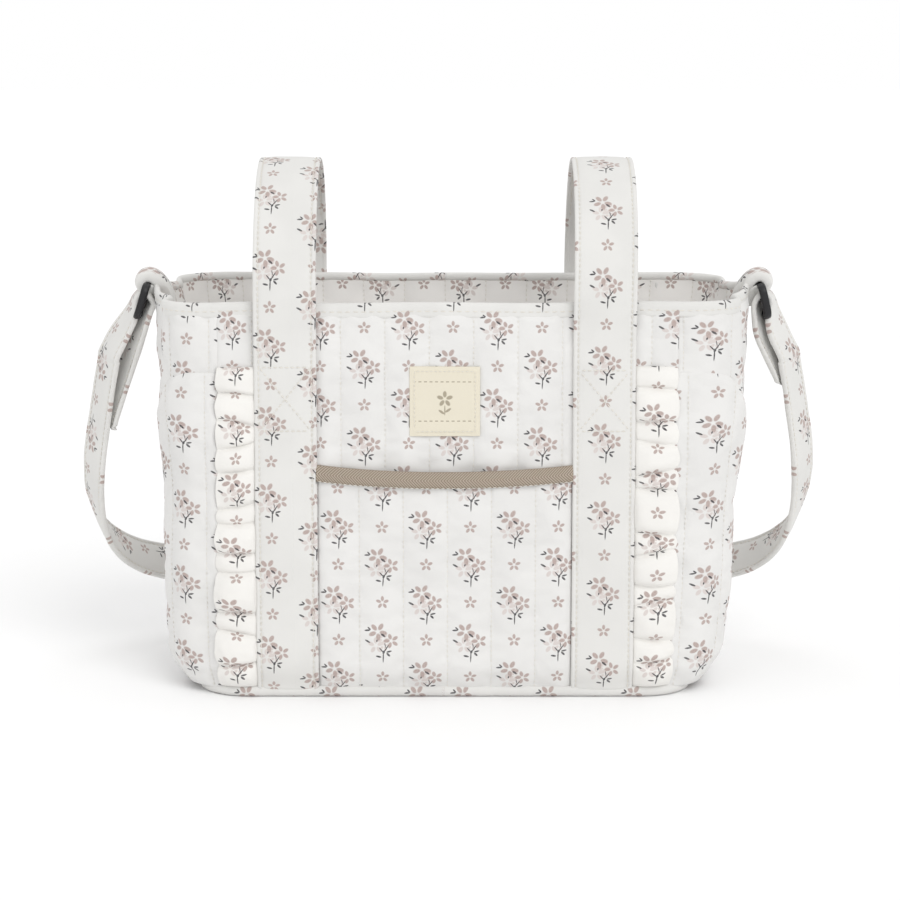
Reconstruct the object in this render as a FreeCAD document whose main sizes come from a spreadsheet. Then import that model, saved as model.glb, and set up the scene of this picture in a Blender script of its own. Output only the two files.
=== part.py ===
"""A quilted pram organiser tote with two over-the-mouth handles and an adjustable shoulder strap.

Millimetres, +Z up, the front faces -Y. The origin is the middle of the flat base.
"""

import FreeCAD, Part
import math
import os
import re

import Sketcher
from FreeCAD import Rotation, Vector

# Each driving dimension has a cell with this alias and value, and the third column says what it is.
DIMENSIONS = (
    ("rim_length", 348, "mouth, side to side"),
    ("base_length", 300, "walls at the floor, side to side"),
    ("body_depth", 148, "walls, front to back"),
    ("body_height", 235, "floor to the edge of the mouth"),
    ("corner_round", 42, "upright corners of the walls"),
    ("seam_place", 136, "panel seams from the middle"),
    ("wall", 4.8, "quilted cloth with its wadding"),
    ("lining_wall", 1.2, "lining cloth"),
    ("hem_height", 6, "turned edge of the mouth"),
    ("strip_height", 6, "strip round the base"),
    ("strip_width", 5, "strip, outside to inside"),
    ("strip_inset", 1, "strip, in from the walls"),
    ("bottom_cloth", 3, "bottom cloth"),
    ("band_width", 37, "handle bands"),
    ("band_wall", 3, "handle bands, folded cloth and wadding"),
    ("band_place", 92.5, "middle of each handle from the middle of the bag"),
    ("fold_place", 238, "where the handles fold, up from the floor"),
    ("fold_gap", 2, "end of a band below the round end of its handle"),
    ("handle_top", 313, "handles, up from the floor"),
    ("handle_clear", 3.6, "free part of a handle from the wall"),
    ("pocket_width", 147, "front pocket"),
    ("pocket_depth", 8, "front pocket, out from the wall"),
    ("pocket_wall", 2.5, "cloth of every pocket"),
    ("pocket_top", 130, "front pocket cloth, up from the floor"),
    ("trim_height", 10, "tape on the front pocket"),
    ("trim_wall", 3, "tape on the front pocket, doubled over the edge"),
    ("label_side", 41, "label"),
    ("label_wall", 1, "label"),
    ("label_place", 176.5, "middle of the label, up from the floor"),
    ("ruffle_width", 21.5, "ruffles"),
    ("ruffle_top", 198, "ruffles, up from the floor"),
    ("ruffle_depth", 8, "ruffles, out from the wall"),
    ("ruffle_gap", 0.3, "ruffles from the bands"),
    ("ruffle_folds", 10, "folds in a ruffle"),
    ("side_pocket_edge", 134, "side pockets start this far from the middle"),
    ("side_pocket_out", 11.5, "side pockets, out from the walls"),
    ("side_pocket_top", 185, "side pockets, up from the floor"),
    ("snap_radius", 9, "halves of the magnetic snap"),
    ("snap_wall", 2, "halves of the magnetic snap"),
    ("snap_drop", 34, "snap, down from the edge of the mouth"),
    ("bar_place", 184, "top bar of a slider from the middle"),
    ("bar_height", 238, "top bar of a slider, up from the floor"),
    ("slider_tilt", 15, "sliders lean out by this angle"),
    ("slider_width", 34, "sliders, front to back"),
    ("slider_length", 24, "sliders, top to bottom"),
    ("slider_wall", 4, "sliders"),
    ("slot_width", 28, "slots in the sliders"),
    ("slot_length", 6, "slots in the sliders, along the strap"),
    ("bar_wall", 3, "middle bar of a slider"),
    ("tab_width", 26, "strap tabs"),
    ("tab_round", 7.5, "outside of a tab's loop"),
    ("tab_wall", 2, "tabs"),
    ("tab_rise", 3.2, "middle of a tab's loop above the bar in it"),
    ("tab_clear", 0.6, "tabs from the walls"),
    ("strap_width", 27, "shoulder strap"),
    ("strap_wall", 2.5, "shoulder strap"),
    ("strap_turn", 4, "strap's middle line round the slider's middle bar"),
    ("left_tail_end", 150, "left doubled-back end of the strap, up from the floor"),
    ("right_tail_end", 178, "right doubled-back end of the strap, up from the floor"),
)

SPARE = 5  # how far a cutting solid reaches past what it cuts

# The right half of the shoulder strap's middle line below the slider, down its outer layer and round
# to the middle of the back. The bag's side is at about x 170 and its back at y 74.
STRAP_ROUTE = (
    (205, 0, 195),
    (212, 3, 160),
    (216, 9, 126),
    (214, 20, 99),
    (208, 36, 77),
    (196, 55, 61),
    (179, 73, 51),
    (157, 87, 46),
    (122, 94, 43),
    (80, 97, 42),
    (40, 98, 41),
)
TURN_STARTS = 170  # above this height the strap's width runs front to back
TURN_ENDS = 52  # below it, up and down
TAIL_GAP = 5.2  # between the middle lines of the strap's two layers, at the tail's end
TAIL_BOW = 0.6  # share of that gap by which the tail bows inwards, clear of the slider's lower bar

document = FreeCAD.newDocument("diaper_bag")
sheet = document.addObject("Spreadsheet::Sheet", "Sizes")
parts = []


def fill_sheet():
    for row, (alias, value, meaning) in enumerate(DIMENSIONS, start=1):
        sheet.set(f"A{row}", meaning)
        sheet.set(f"B{row}", str(value))
        sheet.setAlias(f"B{row}", alias)
    document.recompute()


def size(alias):
    """A driving dimension's value."""
    return float(sheet.get(alias))


def cells(text):
    """A formula of aliases, as the document writes it."""
    aliases = {alias for alias, _, _ in DIMENSIONS}
    return re.sub(r"[a-z_]+", lambda word: f"Sizes.{word[0]}" if word[0] in aliases else word[0], text)


def bind(thing, **formulas):
    """Binds properties to formulas. A double underscore in a name stands for a full stop."""
    for name, formula in formulas.items():
        thing.setExpression(name.replace("__", "."), cells(formula))


def keep(thing, label):
    """Marks a solid of the document as one of the bag's pieces."""
    thing.Label = label
    parts.append(thing)
    return thing


def box(name, x, y, z):
    """A box between the two formulas in each of x, y and z."""
    made = document.addObject("Part::Box", name)
    bind(
        made,
        Length=f"({x[1]}) - ({x[0]})",
        Width=f"({y[1]}) - ({y[0]})",
        Height=f"({z[1]}) - ({z[0]})",
        Placement__Base__x=x[0],
        Placement__Base__y=y[0],
        Placement__Base__z=z[0],
    )
    return made


def cylinder(name, axis, radius, length, x, y, z):
    """A cylinder whose first face has its middle at x, y, z, running along axis."""
    made = document.addObject("Part::Cylinder", name)
    made.Placement.Rotation = Rotation(Vector(0, 0, 1), axis)
    bind(
        made,
        Radius=radius,
        Height=length,
        Placement__Base__x=x,
        Placement__Base__y=y,
        Placement__Base__z=z,
    )
    return made


def cut(name, base, tool):
    made = document.addObject("Part::Cut", name)
    made.Base = base
    made.Tool = tool
    return made


def common(name, first, second):
    made = document.addObject("Part::MultiCommon", name)
    made.Shapes = [first, second]
    return made


def fuse(name, *shapes):
    made = document.addObject("Part::MultiFuse", name)
    made.Shapes = list(shapes)
    made.Refine = True
    return made


def origin_plane(body, role):
    return next(plane for plane in body.Origin.OriginFeatures if plane.Role == role)


def rounded_sketch(body, name, length, depth, radius, height):
    """A round-cornered rectangle about the Z axis at a height, its sizes given as formulas."""
    sketch = body.newObject("Sketcher::SketchObject", name)
    sketch.AttachmentSupport = [(origin_plane(body, "XY_Plane"), "")]
    sketch.MapMode = "FlatFace"
    bind(sketch, AttachmentOffset__Base__z=height)
    far_x = size("base_length") / 2
    far_y = size("body_depth") / 2
    round_off = size("corner_round")
    near_x = far_x - round_off
    near_y = far_y - round_off
    corners = ((near_x, -near_y, -90), (near_x, near_y, 0), (-near_x, near_y, 90), (-near_x, -near_y, 180))
    arcs = []
    for x, y, start in corners:
        circle = Part.Circle(Vector(x, y, 0), Vector(0, 0, 1), round_off)
        arcs.append(Part.ArcOfCircle(circle, math.radians(start), math.radians(start + 90)))
    for turn, arc in enumerate(arcs):
        line = Part.LineSegment(arcs[turn - 1].EndPoint, arc.StartPoint)
        sketch.addGeometry(line, False)
        sketch.addGeometry(arc, False)
    for turn in range(4):
        line = 2 * turn
        arc = line + 1
        following = (line + 2) % 8
        sketch.addConstraint(Sketcher.Constraint("Tangent", line, 2, arc, 1))
        sketch.addConstraint(Sketcher.Constraint("Tangent", arc, 2, following, 1))
        sketch.addConstraint(Sketcher.Constraint("Vertical" if turn % 2 else "Horizontal", line))
        if turn:
            sketch.addConstraint(Sketcher.Constraint("Equal", 1, arc))
    sketch.addConstraint(Sketcher.Constraint("Symmetric", 1, 3, 5, 3, -1, 1))
    datums = (
        (Sketcher.Constraint("Radius", 1, round_off), radius),
        (Sketcher.Constraint("DistanceX", 6, 1, 2, 1, 2 * far_x), length),
        (Sketcher.Constraint("DistanceY", 0, 1, 4, 1, 2 * far_y), depth),
    )
    for datum, formula in datums:
        number = sketch.addConstraint(datum)
        sketch.setExpression(f"Constraints[{number}]", cells(formula))
    return sketch


def wall_block(name, bottom, top, outset):
    """A solid with the walls' leaning, round-cornered outside, grown sideways by outset."""
    body = document.addObject("PartDesign::Body", name)
    lean = "(rim_length - base_length) / body_height"
    depth = f"body_depth + 2 * ({outset})"
    radius = f"corner_round + ({outset})"
    levels = []
    for end, height in (("high", top), ("low", bottom)):
        length = f"base_length + 2 * ({outset}) + {lean} * ({height})"
        levels.append(rounded_sketch(body, f"{name}_{end}", length, depth, radius, height))
    loft = body.newObject("PartDesign::AdditiveLoft", f"{name}_loft")
    loft.Profile = levels[0]
    loft.Sections = [levels[1]]
    return body


def plate(name, bottom, top, outset):
    """A flat plate with the walls' outline at the floor, grown sideways by outset."""
    body = document.addObject("PartDesign::Body", name)
    length = f"base_length + 2 * ({outset})"
    depth = f"body_depth + 2 * ({outset})"
    radius = f"corner_round + ({outset})"
    pad = body.newObject("PartDesign::Pad", f"{name}_pad")
    pad.Profile = rounded_sketch(body, f"{name}_outline", length, depth, radius, bottom)
    bind(pad, Length=f"({top}) - ({bottom})")
    return body


def make_walls(solid_walls):
    """The two quilted panels and the two gussets, split at the seams."""
    top = "body_height - hem_height"
    inside = wall_block("walls_inside", f"strip_height - {SPARE}", f"body_height + {SPARE}", "-wall")
    upper = box("under_hem", ("-rim_length", "rim_length"), ("-body_depth", "body_depth"), ("0", top))
    walls = common("walls", cut("walls_hollow", solid_walls, inside), upper)
    span = ("0", "body_height")
    across = ("-seam_place", "seam_place")
    outward = ("seam_place", "rim_length")
    deep = ("-body_depth", "body_depth")
    sides = {
        "front_panel": (across, ("-body_depth", "0")),
        "back_panel": (across, ("0", "body_depth")),
        "left_gusset": (("-rim_length", "-seam_place"), deep),
        "right_gusset": (outward, deep),
    }
    for label, (x, y) in sides.items():
        keep(common(label, walls, box(f"{label}_side", x, y, span)), label)


def make_rim_hem():
    low = "body_height - hem_height"
    outside = wall_block("hem_outside", low, "body_height", "0")
    inside = wall_block(
        "hem_inside", f"{low} - {SPARE}", f"body_height + {SPARE}", "-wall - lining_wall"
    )
    keep(cut("hem", outside, inside), "rim_hem")


def make_lining():
    top = "body_height - hem_height"
    outside = wall_block("lining_outside", "strip_height", top, "-wall")
    inside = wall_block(
        "lining_inside",
        "strip_height + lining_wall",
        f"{top} + {SPARE}",
        "-wall - lining_wall",
    )
    keep(cut("lining_bag", outside, inside), "lining")


def make_base():
    """The strip round the bottom edge, and inside it the bottom cloth and the stiff board."""
    inner = "-strip_inset - strip_width"
    strip = plate("strip_outside", "0", "strip_height", "-strip_inset")
    hole = plate("strip_inside", f"-{SPARE}", f"strip_height + {SPARE}", inner)
    keep(cut("strip", strip, hole), "base_piping")
    cloth = f"{inner} - {SPARE / 10}"
    keep(plate("bottom", "0", "bottom_cloth", cloth), "base_panel")
    keep(plate("board", "bottom_cloth", "strip_height", cloth), "base_board")


def make_front_pocket():
    """A shallow tray open at the top, and the tape over its edge."""
    half = "pocket_width / 2"
    outside = box(
        "pocket_outside",
        (f"-{half}", half),
        ("-body_depth / 2 - pocket_depth", "-body_depth / 2"),
        ("strip_height", "pocket_top"),
    )
    inside = box(
        "pocket_inside",
        (f"-{half} + pocket_wall", f"{half} - pocket_wall"),
        ("-body_depth / 2 - pocket_depth + pocket_wall", f"-body_depth / 2 + {SPARE}"),
        ("strip_height + pocket_wall", f"pocket_top + {SPARE}"),
    )
    keep(cut("pocket", outside, inside), "front_pocket")
    face = "-body_depth / 2 - pocket_depth"
    tape = box(
        "tape", (f"-{half}", half), (face, f"{face} + trim_wall"), ("pocket_top", "pocket_top + trim_height")
    )
    keep(tape, "pocket_trim")


def make_label():
    half = "label_side / 2"
    label = box(
        "label_patch",
        (f"-{half}", half),
        ("-body_depth / 2 - label_wall", "-body_depth / 2"),
        (f"label_place - {half}", f"label_place + {half}"),
    )
    keep(label, "front_label")


def make_bands(side, middle):
    """The parts of one handle that lie flat on the front and on the back."""
    x = (f"{middle} - band_width / 2", f"{middle} + band_width / 2")
    z = ("strip_height", "fold_place - band_width / 2 - fold_gap")
    front = ("-body_depth / 2 - band_wall", "-body_depth / 2")
    back = ("body_depth / 2", "body_depth / 2 + band_wall")
    keep(box(f"{side}_band_front", x, front, z), f"{side}_front_band")
    keep(box(f"{side}_band_back", x, back, z), f"{side}_back_band")


def arch(name, radius, middle, overhang):
    """An upright slab with a half-round top, whose round is about an axis along X."""
    centre = "(handle_top - body_depth / 2 - handle_clear - band_wall)"
    x = f"{middle} - band_width / 2 - {overhang}"
    width = f"band_width + 2 * {overhang}"
    legs = box(
        f"{name}_legs",
        (x, f"{x} + {width}"),
        (f"-({radius})", radius),
        (f"fold_place - band_width - {overhang}", centre),
    )
    top = cylinder(f"{name}_top", Vector(1, 0, 0), radius, width, x, "0", centre)
    return fuse(name, legs, top)


def make_handle_loop(side, middle):
    """The free part of one handle. Its ends are round, so that it turns about them clear of the bands."""
    outside = arch(f"{side}_arch", "body_depth / 2 + handle_clear + band_wall", middle, 0)
    inside = arch(f"{side}_hole", "body_depth / 2 + handle_clear", middle, SPARE)
    strip = cut(f"{side}_arch_strip", outside, inside)
    upright = box(
        f"{side}_upright",
        (f"{middle} - band_width / 2", f"{middle} + band_width / 2"),
        ("-body_depth", "body_depth"),
        ("fold_place", f"handle_top + {SPARE}"),
    )
    ends = cylinder(
        f"{side}_ends",
        Vector(0, 1, 0),
        "band_width / 2",
        "2 * body_depth",
        middle,
        "-body_depth",
        "fold_place",
    )
    outline = fuse(f"{side}_outline", upright, ends)
    keep(common(f"{side}_loop", strip, outline), f"{side}_handle_loop")


def make_ruffle(side, sign):
    """A gathered frill beside the outer edge of a front band, with a scalloped outside edge."""
    folds = int(size("ruffle_folds"))
    radius = "(ruffle_top - strip_height) / ruffle_folds / 2"
    near = "(band_place + band_width / 2 + ruffle_gap)"
    far = f"({near} + ruffle_width - {radius})"
    y = ("-body_depth / 2 - ruffle_depth", "-body_depth / 2")
    x = (near, far) if sign > 0 else (f"-{far}", f"-{near}")
    shapes = [box(f"{side}_ruffle_root", x, y, ("strip_height", "ruffle_top"))]
    for fold in range(folds):
        height = f"strip_height + {radius} * {2 * fold + 1}"
        shapes.append(
            cylinder(
                f"{side}_fold_{fold}",
                Vector(0, 1, 0),
                radius,
                "ruffle_depth",
                f"{sign} * {far}",
                y[0],
                height,
            )
        )
    keep(fuse(f"{side}_frill", *shapes), f"{side}_ruffle")


def make_side_pockets(solid_walls):
    """Pockets that wrap round both gussets, closed at their upright edges and at the bottom."""
    outside = wall_block("side_outside", "strip_height", "side_pocket_top", "side_pocket_out")
    inside = wall_block(
        "side_inside",
        "strip_height + pocket_wall",
        f"side_pocket_top + {SPARE}",
        "side_pocket_out - pocket_wall",
    )
    ring = cut("side_ring", outside, solid_walls)
    deep = ("-body_depth", "body_depth")
    tall = ("0", "body_height")
    for side, sign in (("left", -1), ("right", 1)):
        edges = ("side_pocket_edge", "rim_length")
        hollows = ("side_pocket_edge + pocket_wall", "rim_length")
        if sign < 0:
            edges = ("-rim_length", "-side_pocket_edge")
            hollows = ("-rim_length", "-side_pocket_edge - pocket_wall")
        hollow = common(f"{side}_hollow", inside, box(f"{side}_hollow_side", hollows, deep, tall))
        cloth = cut(f"{side}_cloth", ring, hollow)
        keep(
            common(f"{side}_pocket", cloth, box(f"{side}_pocket_side", edges, deep, tall)),
            f"{side}_side_pocket",
        )


def make_snap():
    """The two halves of the magnetic snap, on the lining at the middle of the front and the back."""
    face = "(body_depth / 2 - wall - lining_wall)"
    height = "body_height - snap_drop"
    socket = cylinder(
        "socket", Vector(0, 1, 0), "snap_radius", "snap_wall", "0", f"-{face}", height
    )
    stud = cylinder("stud", Vector(0, -1, 0), "snap_radius", "snap_wall", "0", face, height)
    keep(socket, "snap_socket")
    keep(stud, "snap_stud")


def lean_out(thing, sign):
    """Turns a piece that was made about a bar at the origin, and puts it where the slider's bar is."""
    thing.Placement.Rotation = Rotation(Vector(0, 1, 0), -sign * size("slider_tilt"))
    bind(
        thing,
        Placement__Rotation__Angle=f"{-sign} * slider_tilt",
        Placement__Base__x=f"{sign} * bar_place",
        Placement__Base__z="bar_height",
    )


def make_slider(side, sign):
    """A plastic slider: a plate with two slots, its top bar at the origin before it is placed."""
    half_wall = "slider_wall / 2"
    plate = box(
        f"{side}_plate",
        (f"-{half_wall}", half_wall),
        ("-slider_width / 2", "slider_width / 2"),
        (f"{half_wall} - slider_length", half_wall),
    )
    through = (f"-{half_wall} - {SPARE}", f"{half_wall} + {SPARE}")
    across = ("-slot_width / 2", "slot_width / 2")
    upper = box(f"{side}_upper_slot", through, across, (f"-{half_wall} - slot_length", f"-{half_wall}"))
    second = f"(-{half_wall} - slot_length - bar_wall)"
    lower = box(f"{side}_lower_slot", through, across, (f"{second} - slot_length", second))
    frame = cut(f"{side}_frame", plate, fuse(f"{side}_slots", upper, lower))
    document.recompute()
    rounded = document.addObject("Part::Fillet", f"{side}_slider_body")
    rounded.Base = frame
    radius = size("slider_wall") / 4
    rounded.Edges = [(number, radius, radius) for number in outline_edges(frame.Shape)]
    lean_out(rounded, sign)
    keep(rounded, f"{side}_slider")


def outline_edges(shape):
    """The numbers of the edges round the two large faces' outside, and round the plate's corners."""
    around = shape.BoundBox
    found = []
    for number, edge in enumerate(shape.Edges, start=1):
        limits = edge.BoundBox
        on_side = min(abs(limits.YMin - around.YMin), abs(limits.YMax - around.YMax)) < 1e-6
        on_end = min(abs(limits.ZMin - around.ZMin), abs(limits.ZMax - around.ZMax)) < 1e-6
        if on_side or on_end:
            found.append(number)
    return found


def make_tab(side, sign):
    """A cloth tab: a loop round the slider's top bar, and the short neck that reaches the gusset."""
    start = "-tab_width / 2"
    outer = cylinder(
        f"{side}_tab_outside", Vector(0, 1, 0), "tab_round", "tab_width", "0", start, "tab_rise"
    )
    inner = cylinder(
        f"{side}_tab_inside",
        Vector(0, 1, 0),
        "tab_round - tab_wall",
        f"tab_width + 2 * {SPARE}",
        "0",
        f"{start} - {SPARE}",
        "tab_rise",
    )
    loop = cut(f"{side}_tab_loop", outer, inner)
    lean_out(loop, sign)
    near = "(rim_length / 2 + tab_clear)"
    far = "(bar_place - tab_round + tab_wall / 2)"
    x = (near, far) if sign > 0 else (f"-{far}", f"-{near}")
    neck = box(
        f"{side}_tab_neck",
        x,
        (start, "tab_width / 2"),
        ("bar_height - tab_wall", "bar_height + 2 * tab_wall"),
    )
    keep(fuse(f"{side}_tab", loop, neck), f"{side}_strap_tab")


def slider_point(down, out):
    """A point of the right slider, so far along it from its top bar and so far out of its plane."""
    tilt = math.radians(size("slider_tilt"))
    along = Vector(math.sin(tilt), 0, -math.cos(tilt))
    outward = Vector(math.cos(tilt), 0, math.sin(tilt))
    return Vector(size("bar_place"), 0, size("bar_height")) + along * down + outward * out


def turn_points():
    """The half turn of the strap's middle line over the slider's middle bar, from inside to outside."""
    radius = size("strap_turn")
    centre = size("slider_wall") / 2 + size("slot_length") + size("bar_wall") / 2
    steps = 6
    angles = [math.pi * step / steps for step in range(steps + 1)]
    return [
        slider_point(centre - radius * math.sin(angle), -radius * math.cos(angle)) for angle in angles
    ]


def tail_points(end_height):
    """The doubled-back end of the strap, inside the outer layer, from its end up to the slider."""
    start = Vector(*STRAP_ROUTE[0])
    after = Vector(*STRAP_ROUTE[1])
    share = (start.z - end_height) / (start.z - after.z)
    inward = Vector(-TAIL_GAP, 0, 0)
    end = start + (after - start) * share + inward
    end.y = 0
    middle = (end + turn_points()[0]) / 2 + inward * TAIL_BOW
    return [end, middle]


def half_route(end_height):
    outer = [Vector(*point) for point in STRAP_ROUTE]
    return tail_points(end_height) + turn_points() + outer


def width_direction(point, tangent):
    """Front to back at the slider, and up and down behind the bag, square to the strap's run."""
    share = (TURN_STARTS - point.z) / (TURN_STARTS - TURN_ENDS)
    share = min(max(share, 0.0), 1.0)
    share = share * share * (3 - 2 * share)
    angle = share * math.pi / 2
    wanted = Vector(0, math.cos(angle), math.sin(angle))
    return (wanted - tangent * wanted.dot(tangent)).normalize()


def strap_section(point, tangent, flat):
    """The strap's outline at a point of its middle line."""
    across = flat * (size("strap_width") / 2)
    out = tangent.cross(flat).normalize() * (size("strap_wall") / 2)
    corners = [point + across + out, point - across + out, point - across - out, point + across - out]
    return Part.makePolygon(corners + corners[:1])


def make_shoulder_strap():
    """One length of cloth from tail to tail, through both sliders and behind the bag."""
    right = half_route(size("right_tail_end"))
    left = half_route(size("left_tail_end"))
    route = right + [Vector(-point.x, point.y, point.z) for point in reversed(left)]
    sections = []
    for number, point in enumerate(route):
        before = route[max(number - 1, 0)]
        after = route[min(number + 1, len(route) - 1)]
        tangent = (after - before).normalize()
        flat = width_direction(point, tangent)
        sections.append(strap_section(point, tangent, flat))
    strap = document.addObject("Part::Feature", "strap")
    strap.Shape = Part.makeLoft(sections, True, True)
    strap.Placement = FreeCAD.Placement()
    keep(strap, "shoulder_strap")
    runs = [(after - before).Length for before, after in zip(route, route[1:])]
    print(f"shoulder strap: {sum(runs):.0f} mm from end to end")


def check_document():
    """Stops before anything is written if an object failed or a piece isn't one sound solid."""
    document.recompute()
    for thing in document.Objects:
        if "Invalid" in thing.State or "Error" in thing.State:
            raise RuntimeError(f"{thing.Label} failed: {thing.State}")
    for part in parts:
        shape = part.Shape
        if shape.isNull() or not shape.isValid() or len(shape.Solids) != 1 or shape.Volume <= 0:
            raise RuntimeError(f"{part.Label} isn't one valid solid")


def write_parts():
    os.makedirs("parts", exist_ok=True)
    for part in parts:
        part.Shape.exportStep(f"parts/{part.Label}.step")
        around = part.Shape.optimalBoundingBox()
        print(
            f"{part.Label:20s} {part.Shape.Volume / 1000:8.1f} cm3"
            f"  x {around.XMin:7.1f} {around.XMax:7.1f}"
            f"  y {around.YMin:7.1f} {around.YMax:7.1f}"
            f"  z {around.ZMin:7.1f} {around.ZMax:7.1f}"
        )


def main():
    fill_sheet()
    solid_walls = wall_block("solid_walls", "strip_height", "body_height", "0")
    make_walls(solid_walls)
    make_rim_hem()
    make_lining()
    make_base()
    make_front_pocket()
    make_label()
    make_side_pockets(solid_walls)
    make_snap()
    for side, sign in (("left", -1), ("right", 1)):
        middle = f"({sign} * band_place)"
        make_bands(side, middle)
        make_handle_loop(side, middle)
        make_ruffle(side, sign)
        make_slider(side, sign)
        make_tab(side, sign)
    make_shoulder_strap()
    check_document()
    write_parts()


main()
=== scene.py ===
"""The quilted pram organiser tote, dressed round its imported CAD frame."""

import math

import bpy
import numpy as np
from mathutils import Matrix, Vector, noise


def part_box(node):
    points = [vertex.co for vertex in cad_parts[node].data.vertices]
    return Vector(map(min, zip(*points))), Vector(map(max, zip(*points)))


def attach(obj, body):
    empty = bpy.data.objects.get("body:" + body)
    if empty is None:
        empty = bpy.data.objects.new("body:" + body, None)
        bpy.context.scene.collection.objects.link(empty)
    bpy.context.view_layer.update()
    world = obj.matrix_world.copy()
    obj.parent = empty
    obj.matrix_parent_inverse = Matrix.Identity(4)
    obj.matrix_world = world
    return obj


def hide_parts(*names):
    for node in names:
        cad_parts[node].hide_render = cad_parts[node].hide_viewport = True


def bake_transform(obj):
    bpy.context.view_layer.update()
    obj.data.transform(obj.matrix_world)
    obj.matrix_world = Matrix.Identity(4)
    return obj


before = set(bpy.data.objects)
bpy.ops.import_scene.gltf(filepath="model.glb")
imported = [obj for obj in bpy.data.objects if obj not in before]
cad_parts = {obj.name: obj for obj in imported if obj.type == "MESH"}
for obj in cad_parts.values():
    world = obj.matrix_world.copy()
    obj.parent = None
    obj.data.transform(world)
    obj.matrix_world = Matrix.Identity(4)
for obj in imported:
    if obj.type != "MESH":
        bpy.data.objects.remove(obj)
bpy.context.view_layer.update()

MM = 0.001

# ---------------------------------------------------------------- sizes from the frame
def corners(node):
    """The lowest and the highest corner of a CAD node's box."""
    return [np.array(corner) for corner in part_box(node)]


HEM_LOW, HEM_HIGH = corners("rim_hem")
LABEL_LOW, LABEL_HIGH = corners("front_label")
BAND_LOW, BAND_HIGH = corners("right_front_band")
RUFFLE_LOW, RUFFLE_HIGH = corners("right_ruffle")
POCKET_HIGH = corners("front_pocket")[1]
TAPE_HIGH = corners("pocket_trim")[1]
LOOP_HIGH = corners("right_handle_loop")[1]

HEIGHT = HEM_HIGH[2]
RIM_HALF = HEM_HIGH[0]
DEPTH_HALF = HEM_HIGH[1]
BASE_HALF = corners("base_piping")[1][0] - 1 * MM
SIDE_LEVEL = 120 * MM  # side panels are laid out at this height, and widen and narrow with the wall

# ---------------------------------------------------------------- the walls' shape
FLAT_LOW = 116 * MM  # half of the straight part of the front wall, at the floor and at the mouth
FLAT_HIGH = 131 * MM
SEAM = 134 * MM  # front and back panels end this far from the middle, along the cloth
QUILT_PITCH = 25.7 * MM  # between the upright seams
PRINT_REPEAT = 45.4 * MM  # up the cloth, from one bouquet to the next
SHEAR = 3.6 * MM  # the mouth stands this much towards +X of the base
# The sizes of the walls' sags and swellings.
FACE_BELLY = 2.0 * MM
END_BELLY = 1.2 * MM
END_FLARE = 4.0 * MM
FOOT_TUCK = 4.5 * MM
END_BUCKLE = 10 * MM
DRIFT = 1.6 * MM
CREASE = 0.9 * MM
MOUTH_WAVE = 1.5 * MM
TAB_PULL = 5 * MM


def smooth(low, high, value):
    """0 at low, 1 at high, and an eased step between them. low may be the larger of the two."""
    share = np.clip((value - low) / (high - low), 0, 1)
    return share * share * (3 - 2 * share)


def outline(along, z):
    """Place and outward direction on the walls at a distance along the cloth from the middle of the
    front, towards +X and on round the bag, at a height."""
    along, z = np.broadcast_arrays(np.asarray(along, float), np.asarray(z, float))
    half = BASE_HALF + (RIM_HALF - BASE_HALF) * z / HEIGHT
    flat = FLAT_LOW + (FLAT_HIGH - FLAT_LOW) * z / HEIGHT
    corner = half - flat
    arc = math.pi / 2 * corner
    side = 2 * (DEPTH_HALF - corner)
    total = 2 * flat + 2 * arc + side
    # The right half is worked out and mirrored.
    wrapped = (along + total) % (2 * total) - total
    sign = np.where(wrapped < 0, -1.0, 1.0)
    far = np.abs(wrapped)
    turn1 = np.clip((far - flat) / corner, 0, math.pi / 2)
    turn2 = np.clip((far - flat - arc - side) / corner, 0, math.pi / 2)
    angle = turn1 + turn2
    run_front = np.minimum(far, flat)
    run_side = np.clip(far - flat - arc, 0, side)
    run_back = np.clip(far - flat - 2 * arc - side, 0, None)
    x = run_front + corner * np.sin(turn1) - corner * (1 - np.cos(turn2)) - run_back
    y = -DEPTH_HALF + corner * (1 - np.cos(turn1)) + run_side + corner * np.sin(turn2)
    normal = np.stack([sign * np.sin(angle), -np.cos(angle), np.zeros_like(angle)], -1)
    return np.stack([sign * x, y, z], -1), normal


def half_way_round(z):
    """Half of the distance round the walls, at a height."""
    half = BASE_HALF + (RIM_HALF - BASE_HALF) * z / HEIGHT
    flat = FLAT_LOW + (FLAT_HIGH - FLAT_LOW) * z / HEIGHT
    corner = half - flat
    return 2 * flat + math.pi * corner + 2 * (DEPTH_HALF - corner)


def soft_noise(points, scale, seed):
    """Smooth noise from -1 to 1 at each point, as an array of the same shape."""
    flat = points.reshape(-1, 3)
    shift = Vector((seed * 3.1, seed * 1.7, seed * 2.3))
    values = [noise.noise(Vector(point) / scale + shift) for point in flat]
    return np.array(values).reshape(points.shape[:-1])


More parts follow.
